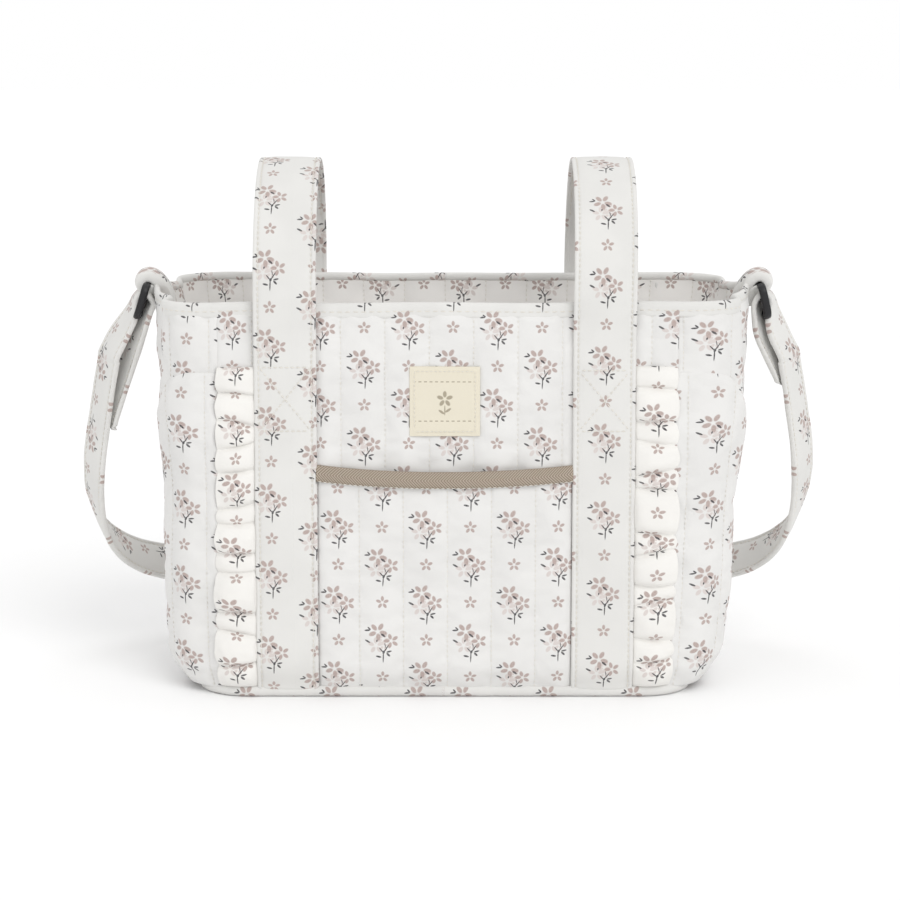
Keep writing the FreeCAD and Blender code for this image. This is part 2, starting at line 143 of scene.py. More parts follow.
def settle(places, normals):
    """The sag, buckles and swelling that every layer of the wall shares, added along the normals."""
    x, y, z = places[..., 0], places[..., 1], places[..., 2]
    up = z / HEIGHT
    facing_front, facing_side = np.abs(normals[..., 1]), np.abs(normals[..., 0])
    # The faces belly out at half height, and the ends flare above it.
    arch = np.sin(np.pi * np.clip(up, 0, 1))
    belly = FACE_BELLY * arch * facing_front
    belly += (END_BELLY * arch + END_FLARE * smooth(0.45, 0.78, up)) * facing_side
    # The foot draws in over the strip, less so at the ends.
    tuck = smooth(26 * MM, 6 * MM, z) ** 2 * FOOT_TUCK * (1 - 0.6 * facing_side)
    # Near the mouth each end buckles inwards on both sides of the strap's tab.
    gusset = smooth(150 * MM, 172 * MM, np.abs(x) + 8 * MM * (1 - up))
    buckle = np.exp(-(((np.abs(y) - 36 * MM) / (15 * MM)) ** 2)) * END_BUCKLE
    lean = -gusset * smooth(0.62, 1.0, up) * buckle
    # Wide unevenness all over, and upright creases at the ends.
    drift = soft_noise(places, 70 * MM, 1) * DRIFT * smooth(0.02, 0.3, up)
    crease = soft_noise(places * np.array([0.2, 1, 0.45]), 9 * MM, 5) * CREASE
    crease = crease * gusset * smooth(0.5, 0.85, up)
    moved = places + normals * (belly - tuck + lean + drift + crease)[..., None]
    # The mouth waves up and down, and the tabs pull it up.
    wave = soft_noise(places * np.array([1, 1, 0]), 60 * MM, 2) * MOUTH_WAVE
    pulled = np.exp(-((y / (16 * MM)) ** 2)) * TAB_PULL * gusset
    moved[..., 2] += smooth(0.6, 1.0, up) * (wave + pulled)
    moved[..., 0] += SHEAR * smooth(0.0, 0.55, up) * smooth(110 * MM, 165 * MM, np.abs(x))
    return moved


def wall_point(along, z, out=0.0):
    """A point on the settled wall, moved out of it by a distance."""
    places, normals = outline(along, z)
    return settle(places, normals) + normals * np.asarray(out)[..., None], normals


# ---------------------------------------------------------------- meshes
def make_object(name, vertices, faces, uv=None):
    mesh = bpy.data.meshes.new(name)
    mesh.from_pydata([tuple(vertex) for vertex in vertices], [], faces)
    if uv is not None:
        layer = mesh.uv_layers.new(name="cloth")
        corner = np.empty(len(mesh.loops), int)
        mesh.loops.foreach_get("vertex_index", corner)
        layer.data.foreach_set("uv", np.asarray(uv, np.float32)[corner].ravel())
    mesh.polygons.foreach_set("use_smooth", [True] * len(mesh.polygons))
    mesh.validate()
    mesh.update()
    made = bpy.data.objects.new(name, mesh)
    bpy.context.scene.collection.objects.link(made)
    return made


def grid_faces(rows, columns, start=0, ring=False, flip=False):
    """Four-sided faces of a grid whose points are stored row by row."""
    faces = []
    for row in range(rows - 1):
        for column in range(columns if ring else columns - 1):
            following = (column + 1) % columns
            face = (
                start + row * columns + column,
                start + row * columns + following,
                start + (row + 1) * columns + following,
                start + (row + 1) * columns + column,
            )
            faces.append(face[::-1] if flip else face)
    return faces


def join_faces(rows, columns, ring=False):
    """Faces that join a grid's last row to its first."""
    last = (rows - 1) * columns
    faces = []
    for column in range(columns if ring else columns - 1):
        following = (column + 1) % columns
        faces.append((last + column, last + following, following, column))
    return faces


def tube_caps(rows, columns):
    """The two ends of a tube whose rings are the grid's rows."""
    return [tuple(range(columns))[::-1], tuple(range((rows - 1) * columns, rows * columns))]


def run_length(points):
    """The distance along a line to each of its points."""
    return np.concatenate([[0], np.cumsum(np.linalg.norm(np.diff(points, axis=0), axis=1))])


def border(rows, columns):
    """The grid's border, as point numbers running round it."""
    low = list(range(columns))
    high = [(rows - 1) * columns + column for column in range(columns)]
    right = [row * columns + columns - 1 for row in range(1, rows)]
    left = [row * columns for row in range(rows - 2, -1, -1)]
    return low + right + high[::-1][1:] + left


def shell(name, outside, inside, uv):
    """A closed skin between two grids of the same shape. Rows run up and columns to the right, as seen
    from outside."""
    rows, columns = outside.shape[:2]
    count = rows * columns
    vertices = np.concatenate([outside.reshape(-1, 3), inside.reshape(-1, 3)])
    faces = grid_faces(rows, columns) + grid_faces(rows, columns, count, flip=True)
    loop = border(rows, columns)
    for first, second in zip(loop, loop[1:]):
        faces.append((second, first, first + count, second + count))
    coordinates = np.concatenate([uv.reshape(-1, 2), uv.reshape(-1, 2)])
    return make_object(name, vertices, faces, coordinates)


def folded_strip(name, ring, uv):
    """A closed strip: each column of the grid is the same section, and both ends are capped."""
    count, steps = ring.shape[:2]
    faces = grid_faces(count, steps) + join_faces(count, steps)
    faces.append(tuple(row * steps for row in range(count)))
    faces.append(tuple(row * steps + steps - 1 for row in range(count))[::-1])
    return make_object(name, ring.reshape(-1, 3), faces, uv.reshape(-1, 2))


STITCH_SIDES = 6
# Along a stitch: share of its length, thickness and height above the cloth.
STITCH_RINGS = np.array(
    [(0.0, 0.25, -0.3), (0.18, 0.85, 0.5), (0.5, 1.0, 1.0), (0.82, 0.85, 0.5), (1.0, 0.25, -0.3)]
)


def stitches(name, lines, pitch, length, radius):
    """Rows of thread. lines is a list of (points, outward directions), each row of stitches lying on the
    cloth's surface. pitch is from one stitch to the next, length and radius are a stitch's own."""
    angles = np.linspace(0, 2 * math.pi, STITCH_SIDES, endpoint=False)
    share, thick, lift = (STITCH_RINGS[:, column][None, :, None, None] for column in range(3))
    made = []
    for points, outward in lines:
        reach = run_length(points)
        starts = np.arange(pitch / 2, reach[-1] - length, pitch)

        def along(places, values):
            return np.stack([np.interp(places, reach, values[:, axis]) for axis in range(3)], -1)

        begin = along(starts, points)
        run = along(starts + length, points) - begin
        up = along(starts + length / 2, outward)
        up /= np.linalg.norm(up, axis=1)[:, None]
        side = np.cross(up, run)
        side /= np.linalg.norm(side, axis=1)[:, None]
        begin, run, up, side = (values[:, None, None] for values in (begin, run, up, side))
        ring = np.cos(angles)[:, None] * side + np.sin(angles)[:, None] * up
        made.append((begin + run * share + up * radius * lift + radius * thick * ring).reshape(-1, 3))
    vertices = np.concatenate(made)
    each = len(STITCH_RINGS) * STITCH_SIDES
    pattern = grid_faces(len(STITCH_RINGS), STITCH_SIDES, ring=True)
    pattern += tube_caps(len(STITCH_RINGS), STITCH_SIDES)
    faces = []
    for start in range(0, len(vertices), each):
        faces += [tuple(number + start for number in face) for face in pattern]
    return make_object(name, vertices, faces)


# ---------------------------------------------------------------- cloth simulation
CLOTH_FRAMES = 14
CLOTH_SPARE = 0.02  # the cloth is this share longer than the panel it covers


def puff(places, pinned, pressure, most):
    """Lets a grid of cloth, sewn down where pinned is true, swell under its wadding, no point moving
    further than most. Returns the grid."""
    rows, columns = places.shape[:2]
    sample = make_object("puff_sample", places.reshape(-1, 3), grid_faces(rows, columns))
    group = sample.vertex_groups.new(name="sewn")
    group.add(np.flatnonzero(pinned.ravel()).tolist(), 1.0, "REPLACE")
    cloth = sample.modifiers.new("cloth", "CLOTH")
    settings = cloth.settings
    settings.quality = 4
    settings.mass = 0.2
    settings.tension_stiffness = 12
    settings.compression_stiffness = 12
    settings.shear_stiffness = 4
    settings.bending_stiffness = 0.15
    settings.vertex_group_mass = "sewn"
    settings.use_pressure = True
    settings.uniform_pressure_force = pressure
    settings.shrink_min = -CLOTH_SPARE
    settings.effector_weights.gravity = 0
    cloth.point_cache.frame_start = 1
    cloth.point_cache.frame_end = CLOTH_FRAMES
    scene = bpy.context.scene
    for step in range(1, CLOTH_FRAMES + 1):
        scene.frame_set(step)
    dressed = sample.evaluated_get(bpy.context.evaluated_depsgraph_get())
    moved = np.empty(rows * columns * 3, np.float32)
    dressed.data.vertices.foreach_get("co", moved)
    shift = moved.reshape(rows, columns, 3) - places
    far = np.linalg.norm(shift, axis=-1, keepdims=True)
    mesh = sample.data
    bpy.data.objects.remove(sample)
    bpy.data.meshes.remove(mesh)
    scene.frame_set(1)
    return places + shift * np.minimum(1, most / np.maximum(far, 1e-9))


# ---------------------------------------------------------------- materials
def colour(red, green, blue):
    """A shader colour from the usual 0 to 255 numbers."""
    shares = [channel / 255 for channel in (red, green, blue)]
    linear = [s / 12.92 if s <= 0.04045 else ((s + 0.055) / 1.055) ** 2.4 for s in shares]
    return (*linear, 1.0)


OFF_WHITE = colour(228, 227, 225)
CREAM = colour(224, 223, 220)
TAUPE = colour(176, 157, 151)
PALE_PETAL = colour(208, 197, 193)
LEAF = colour(52, 49, 54)
LINING_WHITE = colour(241, 239, 236)
FRILL_WHITE = colour(237, 235, 231)
# Painted shade: a darker colour for the dashes in the stitch dimples along the quilting seams.
SEAM_DIMPLE_SHADE = colour(196, 192, 184)
TAPE_LIGHT = colour(183, 170, 155)
TAPE_DARK = colour(134, 121, 107)
TAPE_WORN = colour(158, 143, 124)
LABEL_CREAM = colour(227, 221, 204)
LABEL_RIB = colour(223, 215, 195)
LABEL_INK = colour(158, 148, 128)
THREAD = colour(231, 228, 220)
THREAD_SHADE = colour(217, 212, 202)
PLASTIC = colour(17, 16, 20)
PLATING = colour(196, 192, 186)
BOARD = colour(176, 170, 160)


class Tree:
    """A short way to write shader nodes."""

    def __init__(self, tree):
        self.tree = tree

    def put(self, value, socket):
        if isinstance(value, bpy.types.NodeSocket):
            self.tree.links.new(value, socket)
        else:
            socket.default_value = value

    def node(self, kind, *values, **settings):
        made = self.tree.nodes.new(kind)
        for name, value in settings.items():
            setattr(made, name, value)
        for value, socket in zip(values, made.inputs):
            if value is not None:
                self.put(value, socket)
        return made

    def math(self, operation, *values, clamp=False):
        return self.node("ShaderNodeMath", *values, operation=operation, use_clamp=clamp).outputs[0]

    def vector(self, operation, *values):
        return self.node("ShaderNodeVectorMath", *values, operation=operation).outputs[0]

    def mix(self, share, first, second):
        made = self.tree.nodes.new("ShaderNodeMix")
        made.data_type = "RGBA"
        self.put(share, made.inputs[0])
        self.put(first, made.inputs[6])
        self.put(second, made.inputs[7])
        return made.outputs[2]

    def ramp(self, value, low, high, first=0.0, second=1.0):
        made = self.node("ShaderNodeMapRange", value, low, high, first, second)
        made.interpolation_type = "SMOOTHSTEP"
        return made.outputs[0]

    def grain(self, place=None, scale=5.0, detail=2.0):
        """Fine random unevenness, 0 to 1."""
        made = self.node("ShaderNodeTexNoise", place)
        made.inputs["Scale"].default_value = scale
        made.inputs["Detail"].default_value = detail
        return made.outputs[0]

    def relief(self, shader, height, strength, depth):
        """Raises and sinks a shader's surface by a height from 0 to 1."""
        made = self.node("ShaderNodeBump")
        made.inputs["Strength"].default_value = strength
        made.inputs["Distance"].default_value = depth
        self.put(height, made.inputs["Height"])
        self.put(made.outputs[0], shader.inputs["Normal"])

    def cloth_place(self):
        return self.node("ShaderNodeUVMap", uv_map="cloth").outputs[0]

    def group(self, tree, *values):
        made = self.tree.nodes.new("ShaderNodeGroup")
        made.node_tree = tree
        for value, socket in zip(values, made.inputs):
            if value is not None:
                self.put(value, socket)
        return made.outputs


def new_group(name, inputs, outputs):
    """A node group, and its tree's helper, input sockets and output node."""
    group = bpy.data.node_groups.new(name, "ShaderNodeTree")
    for label, kind in inputs:
        group.interface.new_socket(label, in_out="INPUT", socket_type=f"NodeSocket{kind}")
    for label, kind in outputs:
        group.interface.new_socket(label, in_out="OUTPUT", socket_type=f"NodeSocket{kind}")
    tree = Tree(group)
    return group, tree, tree.node("NodeGroupInput").outputs, tree.node("NodeGroupOutput").inputs


def leaf_group():
    """One soft-edged ellipse: 1 inside it and 0 outside."""
    inputs = (("At", "Vector"), ("Middle", "Vector"), ("Angle", "Float"), ("Reach", "Vector"))
    group, tree, given, result = new_group("leaf_shape", inputs, (("Mask", "Float"),))
    local = tree.vector("SUBTRACT", given[0], given[1])
    turned = tree.node("ShaderNodeVectorRotate", rotation_type="Z_AXIS")
    tree.put(local, turned.inputs["Vector"])
    tree.put(tree.math("MULTIPLY", given[2], -1.0), turned.inputs["Angle"])
    scaled = tree.vector("DIVIDE", turned.outputs[0], given[3])
    length = tree.node("ShaderNodeVectorMath", scaled, operation="LENGTH").outputs["Value"]
    tree.put(tree.ramp(length, 1.18, 0.82), result[0])
    return group


# A petal's middle, half length and half width, as shares of the flower's reach.
PETAL_PLACE, PETAL_LONG, PETAL_WIDE = 0.62, 0.4, 0.235


def flower_group():
    """Five separate petals about a middle. Reach is from the middle to a petal's tip."""
    inputs = (("At", "Vector"), ("Middle", "Vector"), ("Turn", "Float"), ("Reach", "Float"))
    group, tree, given, result = new_group("flower_shape", inputs, (("Mask", "Float"),))
    local = tree.vector("SUBTRACT", given[0], given[1])
    split = tree.node("ShaderNodeSeparateXYZ", local).outputs
    angle = tree.math("SUBTRACT", tree.math("ARCTAN2", split[1], split[0]), given[2])
    sector = 2 * math.pi / 5
    folded = tree.math("WRAP", angle, sector / 2, -sector / 2)
    length = tree.node("ShaderNodeVectorMath", local, operation="LENGTH").outputs["Value"]
    length = tree.math("DIVIDE", length, given[3])
    along = tree.math("MULTIPLY", length, tree.math("COSINE", folded))
    across = tree.math("MULTIPLY", length, tree.math("SINE", folded))
    along = tree.math("DIVIDE", tree.math("SUBTRACT", along, PETAL_PLACE), PETAL_LONG)
    across = tree.math("DIVIDE", across, PETAL_WIDE)
    square = tree.math("ADD", tree.math("POWER", along, 2.0), tree.math("POWER", across, 2.0))
    tree.put(tree.ramp(tree.math("SQRT", square), 1.25, 0.75), result[0])
    return group


# The bouquet in millimetres about its middle: leaves are (x, y, degrees, length, width).
LEAVES = (
    (-8.1, 7.4, 5, 3.3, 1.0),
    (-7.1, 8.5, -42, 2.4, 0.9),
    (-8.1, 0.7, -27, 3.4, 1.1),
    (1.1, 4.4, -37, 3.2, 1.2),
    (-2.5, 1.2, 80, 1.5, 0.8),
    (-1.7, -8.2, -12, 3.2, 1.1),
    (4.4, -5.3, 12, 3.1, 1.0),
    (3.9, -7.1, -45, 2.8, 1.2),
    (1.0, -8.6, 88, 6.4, 0.7),
    (0.0, -4.4, 130, 4.0, 0.7),
    (2.7, -3.6, 56, 5.2, 0.7),
    (1.3, -5.6, 70, 2.2, 1.3),
    (2.2, -1.6, 100, 3.0, 0.5),
)
# Flowers are (x, y, degrees, reach): two taupe ones and two pale ones behind.
FLOWERS = ((-2.0, 6.7, 59, 5.3), (5.8, 0.9, 35, 4.3))
PALE_FLOWERS = ((-3.2, -1.6, 20, 4.8), (1.2, 2.2, 60, 3.7), (1.6, -1.6, 5, 3.3))
SMALL_FLOWER = (0.6, 0.0, 90, 3.7)


def print_group(leaf, flower):
    """The printed pattern. The input is the place on the cloth in metres; the outputs are masks of the
    taupe petals, the pale petals, the dark leaves and the quilting seams."""
    outputs = (("Petals", "Float"), ("Pale", "Float"), ("Leaves", "Float"), ("Seam", "Float"))
    group, tree, given, result = new_group("flower_print", (("Cloth", "Vector"),), outputs)
    cloth = tree.node("ShaderNodeSeparateXYZ", tree.vector("MULTIPLY", given[0], (1000.0, 1000.0, 1.0)))
    cloth = cloth.outputs
    pitch, repeat = QUILT_PITCH / MM, PRINT_REPEAT / MM
    column = tree.math("FLOOR", tree.math("DIVIDE", cloth[0], pitch))
    middle = tree.math("MULTIPLY", tree.math("ADD", column, 0.5), pitch)
    x = tree.math("SUBTRACT", cloth[0], middle)
    odd = tree.math("PINGPONG", column, 1.0)
    shifted = tree.math("ADD", cloth[1], tree.math("MULTIPLY", odd, repeat / 2))
    y = tree.math("WRAP", shifted, repeat / 2, -repeat / 2)
    between = tree.math("WRAP", tree.math("ADD", shifted, repeat / 2 - 1.5), repeat / 2, -repeat / 2)
    at = tree.node("ShaderNodeCombineXYZ", x, y).outputs[0]
    at_small = tree.node("ShaderNodeCombineXYZ", x, between).outputs[0]

    def most(masks):
        found = masks[0]
        for mask in masks[1:]:
            found = tree.math("MAXIMUM", found, mask)
        return found

    def blossom(where, row):
        return tree.group(flower, where, (row[0], row[1], 0), math.radians(row[2]), row[3])[0]

    taupe = [blossom(at, row) for row in FLOWERS] + [blossom(at_small, SMALL_FLOWER)]
    pale = [blossom(at, row) for row in PALE_FLOWERS]
    dark = [
        tree.group(leaf, at, (row[0], row[1], 0), math.radians(row[2]), (row[3] / 2, row[4] / 2, 1))[0]
        for row in LEAVES
    ]
    edge = tree.math("SUBTRACT", pitch / 2, tree.math("ABSOLUTE", x))
    line = tree.ramp(edge, 0.55, 0.2)
    dash = tree.ramp(tree.math("PINGPONG", cloth[1], 1.6), 0.35, 0.6)
    masks = (most(taupe), most(pale), most(dark), tree.math("MULTIPLY", line, dash))
    for mask, socket in zip(masks, result):
        tree.put(mask, socket)
    return group


def new_material(name, record_slot=None):
    """An empty material, its tree's helper and its shader."""
    material = bpy.data.materials.new(name)
    material.use_nodes = True
    if record_slot:
        material["record_slot"] = record_slot
    tree = Tree(material.node_tree)
    shader = next(node for node in material.node_tree.nodes if node.type == "BSDF_PRINCIPLED")
    return material, tree, shader


def weave(tree, place, pitch):
    """A plain weave's height, 0 to 1: threads over and under in both directions."""
    split = tree.node("ShaderNodeSeparateXYZ", place).outputs
    turn = math.pi / pitch
    across = tree.math("SINE", tree.math("MULTIPLY", split[0], turn))
    along = tree.math("SINE", tree.math("MULTIPLY", split[1], turn))
    product = tree.math("MULTIPLY", across, along)
    return tree.math("MULTIPLY_ADD", product, 0.5, 0.5)


def printed_cloth(slot, pattern, base=OFF_WHITE, seam=0.0):
    """Printed cotton: a soft weave, the pattern, faint painted shade in dashes along the quilting seams, and
    small shifts of tone.
    """
    material, tree, shader = new_material(slot, slot)
    cloth = tree.cloth_place()
    petals, pale, leaves, thread = tree.group(pattern, cloth)
    tone = tree.grain(cloth, 22.0, 3.0)
    slub = tree.grain(tree.vector("MULTIPLY", cloth, (900.0, 260.0, 1.0)))
    ink = tree.ramp(tree.grain(cloth, 1500.0), 0.3, 0.7, 0.78, 1.0)
    shade = tree.mix(tree.ramp(tone, 0.35, 0.65), base, tuple(c * 0.955 for c in base[:3]) + (1,))
    shade = tree.mix(tree.math("MULTIPLY", pale, tree.math("MULTIPLY", ink, 0.85)), shade, PALE_PETAL)
    shade = tree.mix(tree.math("MULTIPLY", petals, ink), shade, TAUPE)
    shade = tree.mix(tree.math("MULTIPLY", leaves, ink), shade, LEAF)
    # Painted shade: dashes down the quilting seams are darkened, as strongly as seam says, for the shade in
    # the stitch dimples.
    shade = tree.mix(tree.math("MULTIPLY", thread, seam), shade, SEAM_DIMPLE_SHADE)
    tree.put(shade, shader.inputs["Base Color"])
    tree.put(tree.ramp(slub, 0.2, 0.8, 0.82, 0.95), shader.inputs["Roughness"])
    shader.inputs["Sheen Weight"].default_value = 0.12
    shader.inputs["Sheen Roughness"].default_value = 0.5
    shader.inputs["Specular IOR Level"].default_value = 0.25
    height = tree.math("MULTIPLY_ADD", slub, 0.6, weave(tree, cloth, 0.42 * MM))
    height = tree.math("SUBTRACT", height, tree.math("MULTIPLY", thread, 1.5))
    tree.relief(shader, height, 0.22, 0.12 * MM)
    return material


def tape_material():
    """Cotton herringbone tape: chevrons of twill about its middle line."""
    material, tree, shader = new_material("herringbone_tape", "herringbone_tape")
    cloth = tree.cloth_place()
    split = tree.node("ShaderNodeSeparateXYZ", cloth).outputs
    chevron = tree.math("ADD", split[0], tree.math("PINGPONG", split[1], 5.2 * MM))
    twill = tree.math("SINE", tree.math("MULTIPLY", chevron, 2 * math.pi / (1.7 * MM)))
    twill = tree.ramp(twill, -0.9, 0.9)
    worn = tree.ramp(tree.grain(cloth, 160.0), 0.3, 0.7, 0.0, 0.25)
    shade = tree.mix(worn, tree.mix(twill, TAPE_DARK, TAPE_LIGHT), TAPE_WORN)
    tree.put(shade, shader.inputs["Base Color"])
    tree.put(tree.ramp(twill, 0.0, 1.0, 0.9, 0.75), shader.inputs["Roughness"])
    height = tree.math("MULTIPLY_ADD", weave(tree, cloth, 0.3 * MM), 0.25, twill)
    tree.relief(shader, height, 0.6, 0.25 * MM)
    return material


# The label's stalk and its two leaves, in millimetres: middle, degrees, and half length and width.
LABEL_LEAVES = (
    ((0.0, -5.2, 0), 90, (3.0, 0.35, 1)),
    ((1.9, -5.2, 0), 35, (2.0, 0.7, 1)),
    ((-1.9, -6.2, 0), 145, (2.0, 0.7, 1)),
)


def label_material(leaf, flower):
    """A woven label: two dashed lines and a small plain flower, in thread."""
    material, tree, shader = new_material("label_cloth", "label_cloth")
    cloth = tree.cloth_place()
    at = tree.vector("MULTIPLY", cloth, (1000.0, 1000.0, 1.0))
    split = tree.node("ShaderNodeSeparateXYZ", at).outputs
    row = tree.math("ABSOLUTE", tree.math("SUBTRACT", tree.math("ABSOLUTE", split[1]), 11.5))
    line = tree.ramp(row, 0.42, 0.2)
    dash = tree.ramp(tree.math("PINGPONG", split[0], 1.6), 0.62, 0.85)
    inside = tree.ramp(tree.math("ABSOLUTE", split[0]), 17.2, 16.8)
    ink = tree.math("MULTIPLY", tree.math("MULTIPLY", line, dash), inside)
    bloom = tree.group(flower, at, (0.0, 1.4, 0.0), math.radians(90), 4.6)[0]
    ink = tree.math("MAXIMUM", ink, bloom)
    for place, angle, reach in LABEL_LEAVES:
        ink = tree.math("MAXIMUM", ink, tree.group(leaf, at, place, math.radians(angle), reach)[0])
    slub = tree.grain(tree.vector("MULTIPLY", cloth, (500.0, 2200.0, 1.0)))
    ribbed = tree.mix(tree.ramp(slub, 0.3, 0.7), LABEL_CREAM, LABEL_RIB)
    tree.put(tree.mix(tree.math("MULTIPLY", ink, 0.9), ribbed, LABEL_INK), shader.inputs["Base Color"])
    tree.put(tree.ramp(slub, 0.2, 0.8, 0.6, 0.8), shader.inputs["Roughness"])
    shader.inputs["Sheen Weight"].default_value = 0.2
    height = tree.math("MULTIPLY_ADD", weave(tree, cloth, 0.3 * MM), 0.6, slub)
    tree.relief(shader, tree.math("MULTIPLY_ADD", ink, 0.8, height), 0.35, 0.15 * MM)
    return material


def rough_material(slot, base, low, high, scale, depth, metal=0.0):
    """A moulded, plated or pressed surface: fine grain in its tone, gloss and height."""
    material, tree, shader = new_material(slot, slot)
    place = tree.node("ShaderNodeTexCoord").outputs["Object"]
    grain = tree.grain(place, scale, 4.0)
    wear = tree.grain(place, 90.0)
    darker = tuple(channel * 0.8 for channel in base[:3]) + (1,)
    tree.put(tree.mix(wear, darker, base), shader.inputs["Base Color"])
    mixed = tree.math("MULTIPLY_ADD", wear, 0.4, tree.math("MULTIPLY", grain, 0.6))
    tree.put(tree.ramp(mixed, 0.25, 0.75, low, high), shader.inputs["Roughness"])
    shader.inputs["Metallic"].default_value = metal
    tree.relief(shader, grain, 0.3, depth)
    return material


def thread_material():
    """Spun polyester thread, a little glossy, with its twist."""
    material, tree, shader = new_material("thread", "quilted_print")
    twist = tree.grain(tree.node("ShaderNodeTexCoord").outputs["Object"], 2500.0)
    tree.put(tree.mix(twist, THREAD, THREAD_SHADE), shader.inputs["Base Color"])
    tree.put(tree.ramp(twist, 0.3, 0.7, 0.45, 0.65), shader.inputs["Roughness"])
    tree.relief(shader, twist, 0.3, 0.05 * MM)
    return material


LEAF_SHAPE, FLOWER_SHAPE = leaf_group(), flower_group()
PRINT = print_group(LEAF_SHAPE, FLOWER_SHAPE)
MATERIALS = {
    "quilted_print": printed_cloth("quilted_print", PRINT, seam=0.07),
    "lining_print": printed_cloth("lining_print", PRINT, LINING_WHITE, seam=0.07),
    "band_print": printed_cloth("band_print", PRINT, CREAM),
    "ruffle_print": printed_cloth("ruffle_print", PRINT, FRILL_WHITE),
    "herringbone_tape": tape_material(),
    "label_cloth": label_material(LEAF_SHAPE, FLOWER_SHAPE),
    "black_plastic": rough_material("black_plastic", PLASTIC, 0.38, 0.55, 1400.0, 0.05 * MM),
    "snap_metal": rough_material("snap_metal", PLATING, 0.22, 0.4, 700.0, 0.04 * MM, metal=1.0),
    "stiff_board": rough_material("stiff_board", BOARD, 0.7, 0.9, 900.0, 0.1 * MM),
    "thread": thread_material(),
}


# ---------------------------------------------------------------- putting pieces in place
def place_piece(made, body, slot, replaced=(), material=None, soften=0):
    """Gives a piece its cloth and its body, and hides the CAD nodes it stands for."""
    made.data.materials.clear()
    made.data.materials.append(MATERIALS[material or slot])
    if soften:
        smoother = made.modifiers.new("soften", "SUBSURF")
        smoother.levels = smoother.render_levels = soften
    if body:
        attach(made, body)
    if replaced:
        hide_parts(*replaced)
    return made


def sew(name, body, slot, lines, pitch, length, radius):
    """Rows of thread on a piece of the given slot, carried by a body when one is given."""
    made = stitches(name, lines, pitch, length, radius)
    return place_piece(made, body, slot, material="thread")


# ---------------------------------------------------------------- quilted panels
CHANNEL_STEPS = (0.0, 0.03, 0.08, 0.17, 0.28, 0.39, 0.5, 0.61, 0.72, 0.83, 0.92, 0.97)
ROW_STEP = 2.7 * MM


def quilt_columns(start, end, phase):
    """Distances across a panel, closer together at the quilting seams, and which of them are seams."""
    first = math.floor((start - phase) / QUILT_PITCH)
    last = math.ceil((end - phase) / QUILT_PITCH)
    found = [(start, True), (end, True)]
    for channel in range(first, last):
        for share in CHANNEL_STEPS:
            place = phase + (channel + share) * QUILT_PITCH
            if start + 1 * MM < place < end - 1 * MM:
                found.append((place, share == 0.0))
    found.sort()
    return np.array([place for place, _ in found]), np.array([seam for _, seam in found])


def quilt_height(across, z, phase, swell, seed):
    """How far the wadding lifts the cloth between the seams, with small puckers beside the thread."""
    from_seam = np.abs((across - phase + QUILT_PITCH / 2) % QUILT_PITCH - QUILT_PITCH / 2)
    lift = swell * (1 - np.exp(-((from_seam / (4.2 * MM)) ** 1.3)))
    spots = np.stack([across * 0.35, np.zeros_like(z), z], -1)
    pucker = soft_noise(spots, 6.5 * MM, seed) * np.exp(-((from_seam / (6 * MM)) ** 2))
    billow = soft_noise(spots, 24 * MM, seed + 1)
    ease = smooth(0, 1.2 * MM, from_seam)
    return lift + ease * (pucker * 0.34 * swell + billow * 0.3 * swell)


def covered(places):
    """Where handle bands, frills and the label lie over the front and back walls, from 0 to 1."""
    x, y, z = np.abs(places[..., 0]), places[..., 1], places[..., 2]
    on_face = np.abs(y) > DEPTH_HALF - 6 * MM
    band = smooth(BAND_LOW[0] - 4 * MM, BAND_LOW[0], x) * smooth(BAND_HIGH[0] + 4 * MM, BAND_HIGH[0], x)
    frill = smooth(RUFFLE_LOW[0] - 2 * MM, RUFFLE_LOW[0], x)
    frill = frill * smooth(RUFFLE_HIGH[0] + 1 * MM, RUFFLE_HIGH[0] - 2 * MM, x)
    frill = frill * (z < RUFFLE_HIGH[2]) * (y < 0)
    patch = smooth(LABEL_HIGH[0] + 3 * MM, LABEL_HIGH[0] - 1 * MM, x) * (y < 0)
    patch = patch * smooth(LABEL_LOW[2] - 3 * MM, LABEL_LOW[2] + 1 * MM, z)
    patch = patch * smooth(LABEL_HIGH[2] + 3 * MM, LABEL_HIGH[2] - 1 * MM, z)
    return np.maximum(np.maximum(band, frill), patch) * on_face


def thinned(z):
    """The walls' share of their full thickness: the cloth is pressed flat towards the mouth."""
    return 1 - 0.55 * smooth(203 * MM, 227 * MM, z)


def seam_lines(face, normals, seams):
    """The quilting thread's path down each seam inside a panel's edges."""
    return [(face[:, number], normals[:, number]) for number in np.flatnonzero(seams)[1:-1]]


def quilted(to_along, half, heights, out, thick, phase, swell, seed, pressure, most):
    """A quilted panel on the wall, reaching half its width either side of its middle. to_along(across, z)
    is the distance round the bag, heights(across) are the panel's lower and upper edges, and
    out(across, z) is the distance from the wall. Returns its face, back and print, and its thread."""
    across, seams = quilt_columns(-half, half, phase)
    low, high = (np.broadcast_to(edge, across.shape) for edge in heights(across))
    rows = max(4, int((high - low).max() / ROW_STEP) + 1)
    share = np.linspace(0, 1, rows)[:, None]
    z = low[None, :] + share * (high - low)[None, :]
    wide = np.broadcast_to(across[None, :], z.shape)
    along = to_along(wide, z)
    away = out(wide, z)
    face, normals = wall_point(along, z, away)
    lift = quilt_height(wide, z, phase, swell, seed) * (1 - 0.8 * covered(face))
    border = np.zeros(z.shape, bool)
    border[[0, -1], :] = True
    border[:, [0, -1]] = True
    edge_ease = np.minimum(smooth(0, 5 * MM, z - low), smooth(0, 5 * MM, high - z))
    face = face + normals * (lift * edge_ease)[..., None]
    held = border | seams[None, :] | (covered(face) > 0.5)
    face = puff(face, held, pressure, most)
    back, _ = wall_point(along, z, away - thick * thinned(z))
    return face, back, np.stack([wide, z], -1), seam_lines(face, normals, seams)


quilting_thread = []


